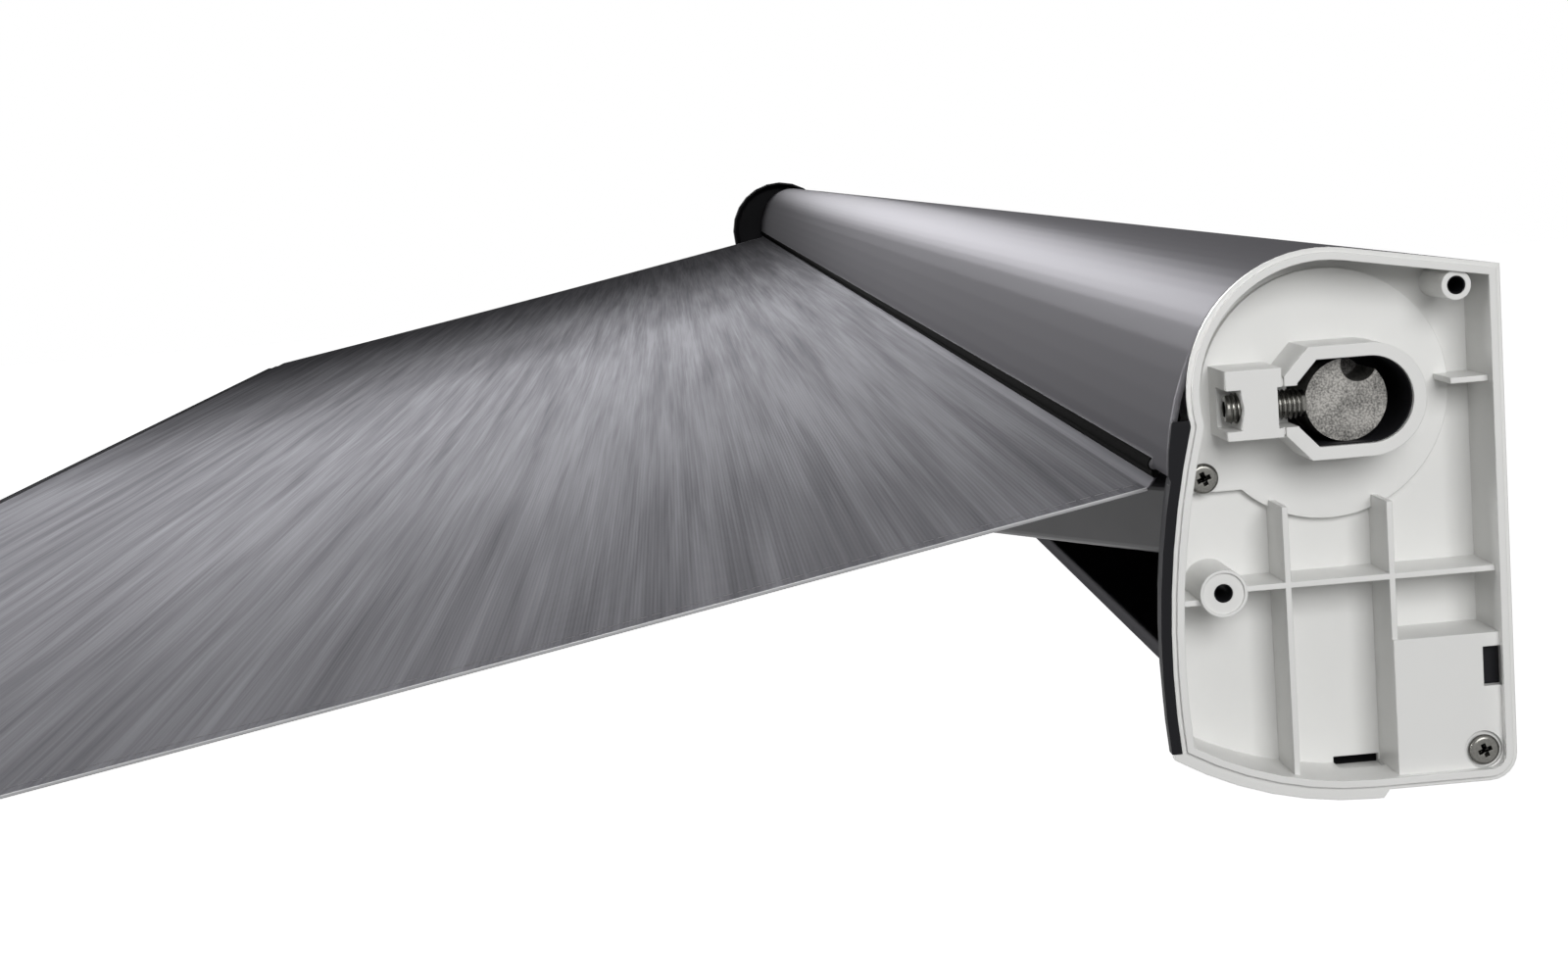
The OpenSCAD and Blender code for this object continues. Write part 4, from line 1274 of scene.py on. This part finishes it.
@dataclass(frozen=True)
class SoftBox:
    """A soft studio lamp."""

    name: str
    place: Point
    target: Point
    size: tuple[float, float]
    power: float
    spread: float = 180.0

    def light(self) -> None:
        """Hangs the lamp and points it."""
        data = bpy.data.lights.new(self.name, "AREA")
        data.shape = "RECTANGLE"
        data.size, data.size_y = self.size
        data.energy = self.power
        data.spread = math.radians(self.spread)
        lamp = bpy.data.objects.new(self.name, data)
        bpy.context.scene.collection.objects.link(lamp)
        lamp.location = self.place
        aim = Vector(self.target) - Vector(self.place)
        lamp.rotation_euler = aim.to_track_quat("-Z", "Y").to_euler()


@dataclass
class Studio:
    """Pale floor, white surroundings, soft lamps and the photograph's camera."""

    eye: Point = (2.34026, -0.26835, 0.24992)
    heading: float = 177.708
    pitch: float = -7.8406
    roll: float = -4.4975
    lens: float = 54.0
    sensor: float = 36.0
    clip: tuple[float, float] = (0.02, 200.0)
    floor_below: float = 2.2
    floor_size: float = 80.0
    floor_dark: Colour = (0.80, 0.80, 0.80)
    floor_pale: Colour = (0.82, 0.82, 0.82)
    floor_glow: float = 0.90
    ambient: float = 0.15

    LAMPS = (
        SoftBox("front_lamp", (0.9, -1.8, 0.6), (1.0, -0.1, 0.13), (1.8, 0.35), 12.0, 80.0),
        SoftBox("far_lamp", (-3.0, -0.36, 0.95), (1.5, -0.09, 0.19), (1.1, 0.6), 1.75, 30.0),
        SoftBox("end_lamp", (3.9, 0.2, 1.1), (1.6, -0.06, 0.12), (1.4, 1.2), 47.0),
        SoftBox("cloth_lamp", (0.25, -0.7, 1.4), (0.2, -0.5, 0.1), (1.2, 0.7), 15.5, 110.0),
    )

    def build(self) -> None:
        """Sets up the whole studio."""
        bpy.context.scene.view_settings.view_transform = "Standard"
        self._camera()
        self._floor()
        self._surroundings()
        for lamp in self.LAMPS:
            lamp.light()

    def _camera(self) -> None:
        """Sets the camera where the photograph was taken from."""
        data = bpy.data.cameras.new("photo_camera")
        data.lens = self.lens
        data.sensor_width = self.sensor
        data.clip_start, data.clip_end = self.clip
        camera = bpy.data.objects.new("photo_camera", data)
        bpy.context.scene.collection.objects.link(camera)
        turn = (
            Matrix.Rotation(math.radians(self.heading - 90.0), 4, "Z")
            @ Matrix.Rotation(math.radians(90.0 + self.pitch), 4, "X")
            @ Matrix.Rotation(math.radians(self.roll), 4, "Z")
        )
        camera.matrix_world = Matrix.Translation(self.eye) @ turn
        bpy.context.scene.camera = camera

    def _floor(self) -> None:
        """Lays the pale floor below the awning."""
        clear()
        bpy.ops.mesh.primitive_plane_add(size=self.floor_size, location=(0.0, 0.0, -self.floor_below))
        floor = settle(named("studio_floor"))
        g = Surface("floor_paper")
        g.set(Base_Color=g.ramp(g.noise(0.5), [(0.3, self.floor_dark), (0.7, self.floor_pale)]))
        g.set(Roughness=0.9, Emission_Color=WHITE, Emission_Strength=self.floor_glow * self._seen(g))
        floor.data.materials.append(g.material)
        floor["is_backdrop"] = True

    def _surroundings(self) -> None:
        """Makes the world white to look at, and soft and plain as a light."""
        world = bpy.data.worlds.new("studio_white")
        bpy.context.scene.world = world
        world.use_nodes = True
        g = Graph(world.node_tree)
        strength = self.ambient + (1.0 - self.ambient) * self._seen(g)
        sky = g.node("ShaderNodeBackground", {}, {"Color": WHITE, "Strength": strength})
        g.node("ShaderNodeOutputWorld", {}, {"Surface": sky.outputs[0]})

    @staticmethod
    def _seen(g: Graph) -> Wire:
        """1 for rays from the camera and for mirrored and transmitted ones, otherwise 0.

        Args:
            g: the floor's or the world's node tree.

        Returns:
            The number.
        """
        path = g.node("ShaderNodeLightPath")
        rays = [Wire(g, path.outputs[f"Is {kind} Ray"]) for kind in ("Camera", "Glossy", "Transmission")]
        return 1.0 - (1.0 - rays[0]) * (1.0 - rays[1]) * (1.0 - rays[2])


def main() -> None:
    """Builds the awning's looks in order and reports each piece."""
    logging.basicConfig(level=logging.INFO, format="%(message)s")
    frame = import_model()
    Studio().build()
    finishes = Finishes()
    finishes.dress_nodes(frame["nodes"])
    Cloth(finishes).build()
    Screws(finishes).build(frame["nodes"])
    ShadeAndDarkWalls(finishes).build()
    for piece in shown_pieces():
        LOG.info("%s: %d faces", piece.name, len(piece.data.polygons))


if __name__ == "__main__":
    main()
